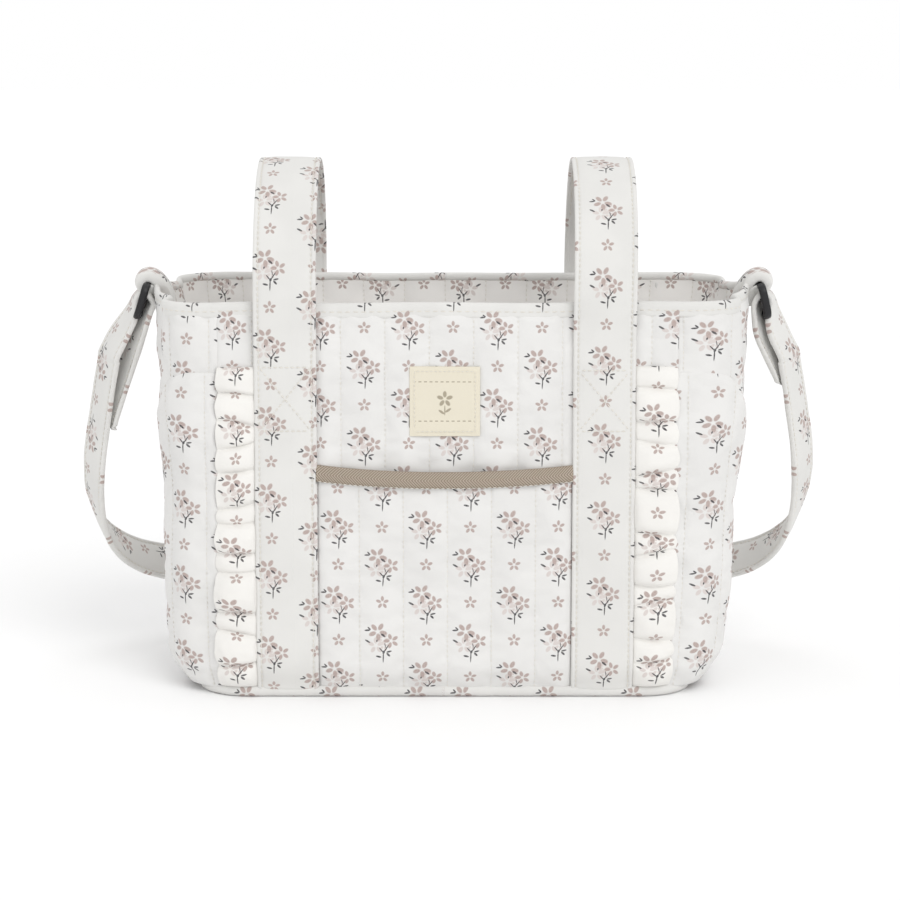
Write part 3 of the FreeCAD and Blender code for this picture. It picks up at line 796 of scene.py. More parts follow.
def quilted_piece(name, node, fill, bouquet, to_along, half, heights, out, **cloth):
    """A quilted panel as a padded piece of the bag, with its thread added to the rest."""
    face, back, uv, lines = quilted(to_along, half, heights, out, **cloth)
    made = shell(name, face, back, print_from(uv, *bouquet))
    place_piece(made, "bag", "quilted_print", (node,), soften=1)
    quilting_thread.extend(lines)


def print_from(uv, bouquet_across, bouquet_up):
    """Shifts a piece's cloth so that one bouquet's middle falls at the place given."""
    return uv + np.array([QUILT_PITCH / 2 - bouquet_across, -bouquet_up])


# ---------------------------------------------------------------- walls
WALL_THICK = 4.6 * MM
PANEL_LOW = 3.5 * MM
PANEL_HIGH = HEM_LOW[2] + 1 * MM
PANEL_PHASE = -9.0 * MM  # a quilting seam's place on the front panel, from the middle
FRONT_BOUQUET = (-47.2 * MM, 197 * MM)  # across and up to the middle of one bouquet in front
PANEL_SWELL = 1.8 * MM
TUCK = 4 * MM  # a side panel's edge reaches this far under the panel beside it


def side_reach(seam):
    """Half of a side panel's width, for a panel that starts at a distance from the bag's middle."""
    return float(half_way_round(SIDE_LEVEL) / 2 - seam)


def side_along(side, seam):
    """Distance round the bag, from the distance across a side panel that has its middle at 0."""

    def along(across, z):
        middle = half_way_round(z) / 2
        return side * middle + across * (middle - seam) / side_reach(seam)

    return along


SIDE_REACH = side_reach(SEAM)


def flush(across, z):
    return np.zeros_like(across)


def tucked(across, z):
    """A side panel dips under the front and back panels at its seams."""
    return -1.4 * MM * smooth(SIDE_REACH - 1 * MM, SIDE_REACH + TUCK, np.abs(across))


def front_along(across, z):
    return across


def back_along(across, z):
    return half_way_round(z) + across


def wall_heights(across):
    return PANEL_LOW, PANEL_HIGH


def make_wall(name, node, to_along, half, phase, bouquet, seed, relief=flush):
    quilted_piece(
        name, node, 0.35, bouquet, to_along, half, wall_heights, relief,
        thick=WALL_THICK, phase=phase, swell=PANEL_SWELL, seed=seed, pressure=3.0, most=PANEL_SWELL,
    )


def make_side_wall(name, side, phase, seed):
    bouquet = (phase + QUILT_PITCH / 2, 190 * MM)
    half = SIDE_REACH + TUCK
    along = side_along(side, SEAM)
    make_wall(f"{name}_side_wall", f"{name}_gusset", along, half, phase, bouquet, seed, relief=tucked)


make_wall("front_wall", "front_panel", front_along, SEAM, PANEL_PHASE, FRONT_BOUQUET, 11)
make_wall("back_wall", "back_panel", back_along, SEAM, PANEL_PHASE, (4 * MM, 180 * MM), 12)
make_side_wall("left", -1, 4 * MM, 13)
make_side_wall("right", 1, -6 * MM, 14)


def make_hem():
    """The turned edge of the mouth, all the way round. Returns the line of its stitches."""
    # The hem's section, from outside, over the top and down inside: out from the wall, and height.
    section = np.array(
        [
            (-0.3, 226.4), (0.45, 227.0), (0.75, 228.4), (0.55, 230.4), (0.8, 232.6), (0.4, 234.3),
            (-0.5, 235.2), (-1.4, 235.5), (-2.3, 235.1), (-3.0, 234.3), (-3.3, 233.2), (-3.4, 232.2),
            (-3.2, 231.4), (-2.6, 230.6), (-1.5, 228.0),
        ]
    ) * MM
    steps = 620
    share = np.linspace(-0.5, 0.5, steps)
    z = np.broadcast_to(section[:, 1][:, None], (len(section), steps))
    around = 2 * half_way_round(z)
    # Just short of a whole turn, so that both ends meet at the middle of the back.
    along = around * share[None, :] * 0.9999
    ring, normals = wall_point(along, z, np.broadcast_to(section[:, 0][:, None], z.shape))
    pucker = soft_noise(ring, 5 * MM, 21) * 0.3 * MM
    ring = ring + normals * pucker[..., None]
    up = np.broadcast_to(section[0, 1] + run_length(section)[:, None], z.shape)
    made = folded_strip("mouth_hem", ring, print_from(np.stack([along, up], -1), *FRONT_BOUQUET))
    place_piece(made, "bag", "quilted_print", ("rim_hem",), material="band_print")
    stitched = 3  # the row of the section that the stitches lie on
    return ring[stitched] - normals[stitched] * 0.1 * MM, normals[stitched]


hem_thread = [make_hem()]


LINING_BACK, LINING_FACE = 4.9 * MM, 5.7 * MM  # the lining's two sides, in from the wall's face


def make_lining():
    """The lining: one cloth round the inside of the walls, sewn down at upright seams."""
    count = 36
    rows = 70
    low, high = 7 * MM, HEM_LOW[2] + 3.6 * MM
    shares = (np.arange(count)[:, None] + np.array(CHANNEL_STEPS)).ravel() / count
    shares = np.concatenate([shares, [1.0]])
    seams = np.concatenate([np.tile([True] + [False] * (len(CHANNEL_STEPS) - 1), count), [True]])
    z = np.broadcast_to(np.linspace(low, high, rows)[:, None], (rows, len(shares)))
    along = 2 * half_way_round(z) * (shares[None, :] + 0.25)
    wide = np.broadcast_to(shares[None, :] * count * QUILT_PITCH, z.shape)
    lift = quilt_height(wide, z, 0.0, 1.3 * MM, 31) * smooth(high, high - 12 * MM, z)
    outside, normals = wall_point(along, z, -LINING_BACK * thinned(z))
    inside, _ = wall_point(along, z, -LINING_FACE * thinned(z) - lift)
    made = shell("lining_wall", outside, inside, np.stack([wide, z], -1))
    place_piece(made, "bag", "lining_print", ("lining",), soften=1)
    for number in np.flatnonzero(seams)[:-1]:
        quilting_thread.append((inside[:, number], -normals[:, number]))


make_lining()


def polar_patch(z, out, rings=40, around=160):
    """Places filling the walls' outline at a height, from the middle outwards, and their distances
    from the edge."""
    share = np.arange(around) / around
    level = np.full(around, z)
    edge, normals = outline(2 * half_way_round(level) * share, level)
    edge = edge + normals * out
    reach = np.linspace(0.02, 1, rings)[:, None, None]
    places = edge[None] * np.array([1, 1, 0]) * reach + np.array([0, 0, z])
    return places, reach[..., 0] * np.ones(around)


def closed_patch(name, top, bottom, uv):
    """A closed skin between two polar grids, both seen from above."""
    rings, around = top.shape[:2]
    count = rings * around
    vertices = np.concatenate([top.reshape(-1, 3), bottom.reshape(-1, 3)])
    faces = grid_faces(rings, around, ring=True, flip=True)
    faces += grid_faces(rings, around, count, ring=True)
    for column in range(around):
        following = (column + 1) % around
        last = (rings - 1) * around
        faces.append((last + column, last + following, last + following + count, last + column + count))
    faces.append(tuple(range(around)))
    faces.append(tuple(range(count, count + around))[::-1])
    return make_object(name, vertices, faces, np.concatenate([uv.reshape(-1, 2)] * 2))


def make_floor():
    """The lining's padded floor, and the cloth under the bag."""
    top, reach = polar_patch(9.5 * MM, -6.5 * MM)
    wide = top[..., 0]
    lift = quilt_height(wide, top[..., 1], 0.0, 1.6 * MM, 33) * smooth(1.0, 0.9, reach)
    bottom = top - np.array([0, 0, 2.5 * MM])
    top[..., 2] += lift
    made = closed_patch("lining_floor", top, bottom, top[..., :2])
    place_piece(made, "bag", "lining_print")
    low, reach = polar_patch(0.2 * MM, -7 * MM)
    curve = smooth(0.94, 1.0, reach) * 1.8 * MM
    low[..., 2] += curve + soft_noise(low, 30 * MM, 35) * 0.1 * MM
    high = low.copy()
    high[..., 2] = 2.8 * MM
    made = closed_patch("bottom_cloth", high, low, low[..., :2])
    place_piece(made, "bag", "quilted_print", ("base_panel",), material="band_print")


make_floor()


STRIP_PRINT = 0.85  # metres of printed cloth in one turn of the strip


def make_base_strip():
    """The rounded strip round the bottom edge."""
    section = np.array(
        [
            (-7.0, 2.4), (-6.6, 1.0), (-5.2, 0.25), (-3.4, 0.3), (-1.9, 1.2), (-1.0, 2.8), (-0.9, 4.6),
            (-1.4, 6.0), (-2.8, 6.8), (-4.8, 6.4), (-6.4, 5.2),
        ]
    ) * MM
    steps = 480
    share = np.arange(steps) / steps
    z = np.broadcast_to(section[:, 1][:, None], (len(section), steps))
    level = np.full(z.shape, 3 * MM)
    along = 2 * half_way_round(level) * share[None, :]
    places, normals = outline(along, level)
    bumpy = soft_noise(places, 6 * MM, 41) * 0.25 * MM
    ring = places + normals * (section[:, 0][:, None] + bumpy)[..., None]
    ring[..., 2] = z
    faces = grid_faces(len(section), steps, ring=True) + join_faces(len(section), steps, ring=True)
    around = np.broadcast_to(share[None, :], z.shape) * STRIP_PRINT
    up = np.broadcast_to(np.arange(len(section))[:, None], z.shape) * 1.5 * MM
    uv = np.stack([around, up], -1)
    made = make_object("bottom_strip", ring.reshape(-1, 3), faces, uv.reshape(-1, 2))
    place_piece(made, "bag", "quilted_print", ("base_piping",), material="band_print")


make_base_strip()


# ---------------------------------------------------------------- front pocket, tape and label
POCKET_PHASE = 1.5 * MM
POCKET_HALF = POCKET_HIGH[0] + 1 * MM
POCKET_MOUTH = TAPE_HIGH[2] - 2.0 * MM


def pocket_mouth(across):
    return POCKET_MOUTH - 3.2 * MM * (1 - (across / POCKET_HALF) ** 2)


def pocket_out(across, z):
    """The pocket's cloth stands away from the wall, most of all at the middle of its mouth."""
    middle = 1 - np.abs(across / POCKET_HALF) ** 3.5
    open_wide = 2.6 * MM * middle * smooth(0.45, 1.0, z / POCKET_MOUTH)
    foot = smooth(0.0, 22 * MM, z)
    return 0.9 * MM + middle * (0.6 * MM + 2.0 * MM * foot) + open_wide


def pocket_heights(across):
    return PANEL_LOW + 1 * MM, pocket_mouth(across)


quilted_piece(
    "front_pocket_cloth", "front_pocket", 0.3, (-11.5 * MM, 103 * MM),
    front_along, POCKET_HALF, pocket_heights, pocket_out,
    thick=2.0 * MM, phase=POCKET_PHASE, swell=1.2 * MM, seed=51, pressure=3.0, most=1.3 * MM,
)


def make_tape():
    """Herringbone tape folded over the pocket's mouth."""
    # Out from the pocket's face and up from its mouth, round the folded tape.
    section = np.array(
        [
            (1.9, -7.2), (2.5, -6.8), (2.6, -4.0), (2.6, -1.0), (2.2, 1.2), (1.0, 2.3), (-0.6, 2.4),
            (-2.0, 1.4), (-2.4, -1.0), (-2.4, -4.5), (-1.8, -4.7), (-1.4, -1.0), (-0.4, 0.9),
            (0.8, 0.8), (1.4, -0.8), (1.5, -4.0), (1.4, -7.0),
        ]
    ) * MM
    steps = 150
    across = np.linspace(-POCKET_HALF - 0.5 * MM, POCKET_HALF + 0.5 * MM, steps)
    mouth = pocket_mouth(across)
    wide = np.broadcast_to(across[None, :], (len(section), steps))
    z = mouth[None, :] + section[:, 1][:, None]
    away = pocket_out(across, mouth)[None, :] + section[:, 0][:, None]
    ring, normals = wall_point(wide, z, away)
    ring = ring + normals * (soft_noise(ring, 14 * MM, 55) * 0.35 * MM)[..., None]
    uv = np.stack([wide, np.broadcast_to(run_length(section)[:, None], wide.shape)], -1)
    made = folded_strip("pocket_tape", ring, uv)
    place_piece(made, "bag", "herringbone_tape", ("pocket_trim",))
    stitched = 1  # the row of the section that the stitches lie on
    quilting_thread.append((ring[stitched] + normals[stitched] * 0.1 * MM, normals[stitched]))


make_tape()


def make_label():
    """A square woven label. Returns the line of the stitches that run round it near its edges."""
    steps = 44
    half = (LABEL_HIGH[0] - LABEL_LOW[0]) / 2
    middle = (LABEL_LOW[2] + LABEL_HIGH[2]) / 2 + 1.5 * MM
    grid = np.linspace(-half, half, steps)
    wide, tall = np.meshgrid(grid, grid)
    edge = np.maximum(np.abs(wide), np.abs(tall)) / half
    z = middle + tall
    away = 1.7 * MM - 0.4 * MM * smooth(0.86, 0.97, edge) + 0.3 * MM * smooth(0.96, 1.0, edge)
    face, normals = wall_point(wide, z, away)
    ripple = soft_noise(face, 11 * MM, 61) * 0.35 * MM
    face = face + normals * ripple[..., None]
    back = face - normals * 0.7 * MM
    made = shell("sewn_label", face, back, np.stack([wide, tall], -1))
    place_piece(made, "bag", "label_cloth", ("front_label",), soften=1)
    near, far = 3, steps - 4
    onward = list(range(near, far + 1))
    loop = [(near, column) for column in onward] + [(row, far) for row in onward]
    loop += [(far, column) for column in onward[::-1]] + [(row, near) for row in onward[::-1]]
    rows, columns = zip(*loop)
    return face[rows, columns] + normals[rows, columns] * 0.05 * MM, normals[rows, columns]


label_thread = [make_label()]


# ---------------------------------------------------------------- side pockets
POCKET_SEAM = 132.5 * MM  # the pockets start this far from the bag's middle, under the frills
SIDE_EDGE = side_reach(POCKET_SEAM)
SIDE_SWELL = 2.1 * MM
POCKET_FULL = 11 * MM


def side_pocket_top(across):
    """The pocket's mouth: high beside the frill, scooped out round the bag's end."""
    from_edge = SIDE_EDGE - np.abs(across)
    return 195 * MM - 45 * MM * smooth(16 * MM, 76 * MM, from_edge)


def side_pocket_heights(across):
    return PANEL_LOW + 0.8 * MM, side_pocket_top(across)


def side_pocket_out(across, z):
    """The pocket hangs full at its middle, and its mouth stands a little open."""
    from_edge = SIDE_EDGE - np.abs(across)
    stand = 0.8 * MM + 1.4 * MM * smooth(0, 20 * MM, from_edge)
    full = POCKET_FULL * smooth(-14 * MM, 26 * MM, z) * smooth(165 * MM, 15 * MM, z)
    full = full * smooth(0, 45 * MM, from_edge)
    loose = 1.2 * MM * smooth(0.7, 1.0, z / side_pocket_top(across)) * smooth(40 * MM, 80 * MM, from_edge)
    return stand + full + loose


def make_side_pocket(name, side, phase, seed):
    bouquet = (phase + QUILT_PITCH * 2.5 * -side, 158 * MM)
    quilted_piece(
        f"{name}_pocket_cloth", f"{name}_side_pocket", 0.4, bouquet,
        side_along(side, POCKET_SEAM), SIDE_EDGE, side_pocket_heights, side_pocket_out,
        thick=2.2 * MM, phase=phase, swell=SIDE_SWELL, seed=seed, pressure=3.5, most=SIDE_SWELL,
    )


make_side_pocket("left", -1, 2 * MM, 71)
make_side_pocket("right", 1, -4 * MM, 72)


# ---------------------------------------------------------------- ribbons: handles, tabs and strap
def ribbon_frames(path, wide):
    """Along, across and outward directions at each point of a ribbon, across being close to wide."""
    along = np.gradient(path, axis=0)
    along /= np.linalg.norm(along, axis=1)[:, None]
    across = wide - along * (along * wide).sum(1)[:, None]
    across /= np.linalg.norm(across, axis=1)[:, None]
    return along, across, np.cross(across, along)


def ribbon(name, path, wide, section, bumps, bouquet):
    """A padded ribbon: section is its outline as (across, out) points, going round anticlockwise when
    looked at along it. bumps is the size of the soft unevenness in its surface."""
    _, across, outward = ribbon_frames(path, wide)
    rings = path[:, None] + across[:, None] * section[None, :, 0, None]
    rings = rings + outward[:, None] * section[None, :, 1, None]
    uneven = soft_noise(rings, 13 * MM, len(name)) * bumps + soft_noise(rings, 5 * MM, 3) * bumps * 0.35
    rings = rings + outward[:, None] * (uneven * np.sign(section[None, :, 1]))[..., None]
    count, sides = rings.shape[:2]
    uv = np.stack(np.broadcast_arrays(section[None, :, 0], run_length(path)[:, None]), -1)
    uv = print_from(uv, *bouquet)
    faces = grid_faces(count, sides, ring=True) + tube_caps(count, sides)
    return make_object(name, rings.reshape(-1, 3), faces, uv.reshape(-1, 2))


def padded_section(half, thick, ridge, seam):
    """The outline of a ribbon folded from cloth and topstitched seam in from both edges."""
    inset = half - seam
    upper = [
        (-half, 0.0), (-half + 0.25 * MM, thick * 0.34), (-half + seam * 0.5, thick * 0.42 + ridge),
        (-inset - 0.5 * MM, thick * 0.34), (-inset, thick * 0.24), (-inset + 0.6 * MM, thick * 0.36),
        (-inset + 3.2 * MM, thick * 0.5), (-inset * 0.45, thick * 0.56), (0.0, thick * 0.58),
    ]
    upper += [(-x, y) for x, y in upper[-2::-1]]
    lower = [(x, -y * 0.86) for x, y in upper[-2:0:-1]]
    # From +across over the outside to -across, then back underneath.
    return np.array(upper + lower)


BAND_MIDDLE = (BAND_LOW[0] + BAND_HIGH[0]) / 2
HANDLE_HALF = (BAND_HIGH[0] - BAND_LOW[0]) / 2 - 0.2 * MM
HANDLE_TOP = LOOP_HIGH[2]
HANDLE_WALL = 3.3 * MM
HANDLE_SEAM = 3.0 * MM
LEG_LOW = 4.5 * MM
ARCH_SPRING = 238 * MM


def handle_path(middle, lean):
    """Up the front, over, and down the back of the bag."""
    climb = np.arange(LEG_LOW, ARCH_SPRING, 2.2 * MM)
    half_thick = HANDLE_WALL * 0.5
    out = np.full(climb.shape, half_thick + 0.25 * MM)
    front, _ = wall_point(np.full(climb.shape, middle), climb, out)
    back, _ = wall_point(half_way_round(climb) - middle, climb, out)
    bow = LOOP_HIGH[1] - half_thick + 0.2 * MM
    ease = smooth(206 * MM, ARCH_SPRING, climb)
    front[:, 1] = front[:, 1] * (1 - ease) - bow * ease
    back[:, 1] = back[:, 1] * (1 - ease) + bow * ease
    front[:, 0] = middle
    back[:, 0] = middle
    turn = np.linspace(0, math.pi, 92)
    rise = HANDLE_TOP - half_thick - ARCH_SPRING
    height = ARCH_SPRING + rise * np.sin(turn) ** 0.94
    arch = np.stack([np.full(turn.shape, middle), -bow * np.cos(turn), height], -1)
    path = np.concatenate([front, arch, back[::-1]])
    path[:, 0] += lean * smooth(205 * MM, HANDLE_TOP, path[:, 2])
    return path


def on_ribbon(path, wide, across, out):
    """Points at a distance across and out of a ribbon, with the outward directions."""
    _, side, outward = ribbon_frames(path, wide)
    across = np.broadcast_to(across, len(path))[:, None]
    out = np.broadcast_to(out, len(path))[:, None]
    return path + side * across + outward * out, outward


def face_height(across, half):
    """How far a handle's padded face stands out from its middle, at places across it."""
    return HANDLE_WALL * (0.57 - 0.2 * (np.abs(across) / half) ** 4)


def box_stitch(path, wide, low, high):
    """A square of stitching with both diagonals, on the front leg of a handle."""
    numbers = np.flatnonzero((path[:, 2] > low) & (path[:, 2] < high) & (path[:, 1] < 0))
    first, last = numbers[0], numbers[-1]
    inset = HANDLE_HALF - HANDLE_SEAM - 0.4 * MM
    _, _, outward = ribbon_frames(path, wide)
    lines = []
    across = np.linspace(-inset, inset, 20)
    for number in (first, last):
        out = face_height(across, inset)
        points = path[number] + wide[0] * across[:, None] + outward[number] * out[:, None]
        lines.append((points, np.repeat(outward[number][None], len(across), 0)))
    span = slice(first, last + 1)
    for sign in (-1, 1):
        across = np.linspace(-inset * sign, inset * sign, last + 1 - first)
        out = face_height(across, inset)
        points = path[span] + wide[0] * across[:, None] + outward[span] * out[:, None]
        lines.append((points, outward[span]))
    return lines


def edge_stitches(path, wide, half_seam, thick, under):
    """Topstitching near both edges of a ribbon: down the whole of its face, and under it where the slice
    called under says."""
    rows = []
    for edge in (-1, 1):
        points, outward = on_ribbon(path, wide, edge * half_seam, thick * 0.3)
        rows.append((points, outward))
        points, outward = on_ribbon(path, wide, edge * half_seam, -thick * 0.26)
        rows.append((points[under], -outward[under]))
    return rows


BOX_LOW, BOX_HIGH = 160.5 * MM, 198 * MM
LEG_POINTS = 120  # points of the path in each sewn leg, where no thread shows underneath


def make_handle(name, side, lean, bouquet):
    middle = side * BAND_MIDDLE
    path = handle_path(middle, lean)
    wide = np.repeat([[1.0, 0.0, 0.0]], len(path), 0)
    section = padded_section(HANDLE_HALF, HANDLE_WALL, 0.25 * MM, HANDLE_SEAM)
    made = ribbon(f"{name}_handle_band", path, wide, section, 0.3 * MM, bouquet)
    nodes = (f"{name}_front_band", f"{name}_handle_loop", f"{name}_back_band")
    place_piece(made, None, "band_print", nodes, soften=1)
    under = slice(LEG_POINTS, -LEG_POINTS)
    rows = edge_stitches(path, wide, HANDLE_HALF - HANDLE_SEAM, HANDLE_WALL, under)
    rows += box_stitch(path, wide, BOX_LOW, BOX_HIGH)
    sewn = sew(f"{name}_handle_stitches", None, "band_print", rows, 3.3 * MM, 2.5 * MM, 0.3 * MM)
    for piece in (made, sewn):
        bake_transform(piece)


make_handle("left", -1, 0.3 * MM, (-9.0 * MM, 24 * MM))
make_handle("right", 1, 1.0 * MM, (0.0, 14 * MM))


# ---------------------------------------------------------------- frills
# The heights of the folds from the foot up, as shares of the frill.
FRILL_FOLDS = {
    "left": (15, 19, 12, 25, 11, 18, 10, 21, 15, 13, 17, 16),
    "right": (17, 13, 22, 11, 19, 12, 26, 10, 18, 12, 19, 13),
}
FRILL_ROWS = 12  # rows of the grid in one fold
FRILL_COLUMNS = 18
FRILL_SAG = 3.2 * MM
FRILL_BULGE = 6.2 * MM
FRILL_THICK = 1.0 * MM


def make_frill(name, side, seed):
    """A gathered strip of cloth: soft bulges between sharp creases, each hanging over the one below."""
    shake = np.random.default_rng(seed)
    folds = np.array(FRILL_FOLDS[name], float)
    height = RUFFLE_HIGH[2] - RUFFLE_LOW[2]
    folds *= height / folds.sum()
    starts = RUFFLE_LOW[2] + np.concatenate([[0], np.cumsum(folds)])
    width = RUFFLE_HIGH[0] - RUFFLE_LOW[0] + 2.5 * MM
    u = np.linspace(0, 1, FRILL_COLUMNS)
    tilt = shake.uniform(-0.22, 0.22, len(starts))
    bend = shake.uniform(-1.0, 1.0, len(starts)) * 1.4 * MM
    tilt[[0, -1]] = 0
    bend[[0, -1]] = 0
    crease = starts[:, None] + tilt[:, None] * (u - 0.5) * width + bend[:, None] * np.sin(math.pi * u)
    rows_z, rows_out = [], []
    plateau = np.sin(math.pi * np.clip(u, 0, 1)) ** 0.35
    plateau = np.where(u > 0.5, np.maximum(plateau, 0.62), plateau)
    for fold in range(len(folds)):
        lower, upper = crease[fold], crease[fold + 1]
        size = np.clip(folds[fold] / (18 * MM), 0.6, 1.25)
        reach = shake.uniform(0.8, 1.15) * size
        phase = shake.uniform(0, 6.28)
        for step in range(FRILL_ROWS):
            a = step / FRILL_ROWS
            bulge = math.sin(math.pi * a) ** 0.42
            sag = FRILL_SAG * reach * math.sin(math.pi * a) * (1 - a)
            ripple = 0.55 * MM * math.sin(math.pi * a) * np.sin(2.2 * math.pi * u + phase)
            rows_z.append(lower + (upper - lower) * a - sag * plateau * (1 - 0.6 * u))
            rows_out.append((0.3 * MM + FRILL_BULGE * reach * bulge) * plateau + ripple)
    rows_z.append(crease[-1])
    rows_out.append(0.3 * MM * plateau)
    z = np.array(rows_z)
    out = np.array(rows_out) + 0.5 * MM
    pull = (1 - np.sin(np.linspace(0, len(folds) * math.pi, len(z))) ** 2)[:, None] * u * 0.6 * MM
    across = RUFFLE_LOW[0] - 1.5 * MM + width * u[None, :] - pull
    across = across + soft_noise(np.stack([across, out, z], -1), 9 * MM, seed) * 0.6 * MM * u
    if side < 0:
        across, z, out = -across[:, ::-1], z[:, ::-1], out[:, ::-1]
        u = 1 - u[::-1]
    face, normals = wall_point(across, z, out)
    wrinkle = soft_noise(face * np.array([0.3, 1, 1]), 4.2 * MM, seed + 5) * 0.6 * MM
    face = face + normals * wrinkle[..., None]
    back = face - normals * FRILL_THICK
    reach = np.linalg.norm(np.diff(face, axis=0), axis=-1).mean(1)
    long = np.concatenate([[0], np.cumsum(reach)])
    uv = np.stack(np.broadcast_arrays((np.abs(across[:1]) - RUFFLE_LOW[0]) * side, long[:, None]), -1)
    uv = print_from(uv, side * 11 * MM, 18 * MM)
    made = shell(f"{name}_frill", face, back, uv)
    place_piece(made, "bag", "ruffle_print", (f"{name}_ruffle",), soften=1)


make_frill("left", -1, 81)
make_frill("right", 1, 82)


# ---------------------------------------------------------------- strap hardware
def hardware_shift(z):
    """How far towards +X the strap and its fittings stand from their places in the frame, following the
    leaning mouth."""
    return 2.4 * MM * smooth(50 * MM, 150 * MM, z) + 2.9 * MM * smooth(203 * MM, 229 * MM, z)


def smooth_path(points, step):
    """A smooth line through the points, as points about step apart."""
    points = np.asarray(points, float)
    ends = np.concatenate([[2 * points[0] - points[1]], points, [2 * points[-1] - points[-2]]])
    found = []
    for number in range(1, len(ends) - 2):
        before, start, stop, after = ends[number - 1 : number + 3]
        count = max(2, int(np.linalg.norm(stop - start) / step) + 1)
        for t in np.linspace(0, 1, count, endpoint=False):
            found.append(
                0.5
                * (
                    2 * start
                    + (stop - before) * t
                    + (2 * before - 5 * start + 4 * stop - after) * t**2
                    + (3 * start - before - 3 * stop + after) * t**3
                )
            )
    found.append(points[-1])
    return np.array(found)


TILT = math.radians(15)
BAR = np.array([0.1836, 0.0, 0.237])  # a slider's top bar on the right
DOWN = np.array([math.sin(TILT), 0.0, -math.cos(TILT)])
OUTWARD = np.array([math.cos(TILT), 0.0, math.sin(TILT)])
SLIDER_HALF = 16 * MM
SLIDER_DROP = 18.5 * MM  # from the top bar's middle to the bottom bar's
MIDDLE_BAR = 9.5 * MM


def rod(start, stop, radius, sides):
    """A round bar with eased ends, as points and faces."""
    run = stop - start
    length = np.linalg.norm(run)
    eased = [(0.0, 0.55), (0.25 * radius / length, 0.85), (radius / length, 1.0)]
    eased += [(1 - share, scale) for share, scale in eased[::-1]]
    side = np.cross(run, [0, 0, 1.0])
    side /= np.linalg.norm(side)
    up = np.cross(side, run / length)
    vertices = []
    for share, scale in eased:
        for angle in np.arange(sides) * 2 * math.pi / sides:
            around = math.cos(angle) * side + math.sin(angle) * up
            vertices.append(start + run * share + radius * scale * around)
    return vertices, grid_faces(len(eased), sides, ring=True) + tube_caps(len(eased), sides)


SLIDER_CORNER = 4.2 * MM
RAIL_WIDE, RAIL_DEEP, RAIL_SQUARE = 2.0 * MM, 2.4 * MM, 0.7  # half sizes, and 1 for round or less for square
RAIL_SIDES = 16


def slider_loop():
    """The frame's middle line, as (across, down) points: a rectangle with rounded corners."""
    far, low = SLIDER_HALF - SLIDER_CORNER, SLIDER_DROP - SLIDER_CORNER
    middles = ((far, low), (-far, low), (-far, SLIDER_CORNER), (far, SLIDER_CORNER))
    points = []
    for quarter, (across, down) in enumerate(middles):
        for angle in np.linspace(0, math.pi / 2, 7):
            turn = angle + quarter * math.pi / 2
            points.append((across + SLIDER_CORNER * math.cos(turn), down + SLIDER_CORNER * math.sin(turn)))
    return np.array(points)


def make_slider(name, side):
    """A moulded slider: a rounded frame with a bar across its middle, leaning out from the bag."""
    loop = slider_loop()
    tangent = np.roll(loop, -1, 0) - np.roll(loop, 1, 0)
    tangent /= np.linalg.norm(tangent, axis=1)[:, None]
    inward = np.stack([tangent[:, 1], -tangent[:, 0]], -1)
    vertices = []
    for point, normal in zip(loop, inward):
        for angle in np.arange(RAIL_SIDES) * 2 * math.pi / RAIL_SIDES:
            c, s = math.cos(angle), math.sin(angle)
            flat = RAIL_WIDE * math.copysign(abs(c) ** RAIL_SQUARE, c)
            high = RAIL_DEEP * math.copysign(abs(s) ** RAIL_SQUARE, s)
            y, down = point + normal * flat
            vertices.append(BAR + np.array([0, y, 0]) + DOWN * down + OUTWARD * high)
    faces = grid_faces(len(loop), RAIL_SIDES, ring=True) + join_faces(len(loop), RAIL_SIDES, ring=True)
    middle, across = BAR + DOWN * MIDDLE_BAR, np.array([0, SLIDER_HALF, 0])
    bar_points, bar_faces = rod(middle - across, middle + across, RAIL_WIDE, RAIL_SIDES)
    faces += [tuple(len(vertices) + number for number in face) for face in bar_faces]
    vertices = np.array(vertices + bar_points)
    vertices[:, 0] += side * hardware_shift(vertices[:, 2])
    if side < 0:
        vertices[:, 0] *= -1
        faces = [face[::-1] for face in faces]
    made = make_object(f"{name}_strap_slider", vertices, faces)
    place_piece(made, "strap", "black_plastic", (f"{name}_slider",), soften=1)


def make_tab(name, side):
    """A soft loop of cloth sewn into the mouth's hem, holding the slider's top bar."""
    x, z = BAR[0], BAR[2]
    # Out and up from the bar, in millimetres: out of the hem, over the bar and back under it.
    turn = [
        (-12.5, -15.0), (-11.0, -8.0), (-8.4, -2.6), (-5.4, 1.4), (-1.8, 3.6), (1.8, 3.2),
        (3.4, 0.8), (2.8, -1.8), (0.2, -3.2), (-3.2, -4.6), (-5.8, -8.0), (-7.6, -14.0),
    ]
    path = smooth_path([(x + a * MM, 0.0, z + 1.5 * MM + b * MM) for a, b in turn], 1.6 * MM)
    wide = np.repeat([[0.0, -1.0, 0.0]], len(path), 0)
    section = padded_section(10.4 * MM, 8.6 * MM, 0.2 * MM, 2.6 * MM)
    made = ribbon(f"{name}_tab_loop", path, wide, section, 0.5 * MM, (0.0, 22 * MM))
    mesh = made.data
    # The neck is pinched where it leaves the hem.
    for vertex in mesh.vertices:
        near = math.exp(-(((vertex.co.z - (z - 8 * MM)) / (7 * MM)) ** 2))
        vertex.co.y *= 1 - 0.35 * near
        vertex.co.x += side * hardware_shift(np.array(vertex.co.z))
        vertex.co.x *= side
    if side < 0:
        mesh.flip_normals()
    place_piece(made, None, "band_print", (f"{name}_strap_tab",), soften=1)
    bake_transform(made)


for end_name, end_side in (("left", -1), ("right", 1)):
    make_slider(end_name, end_side)
    make_tab(end_name, end_side)


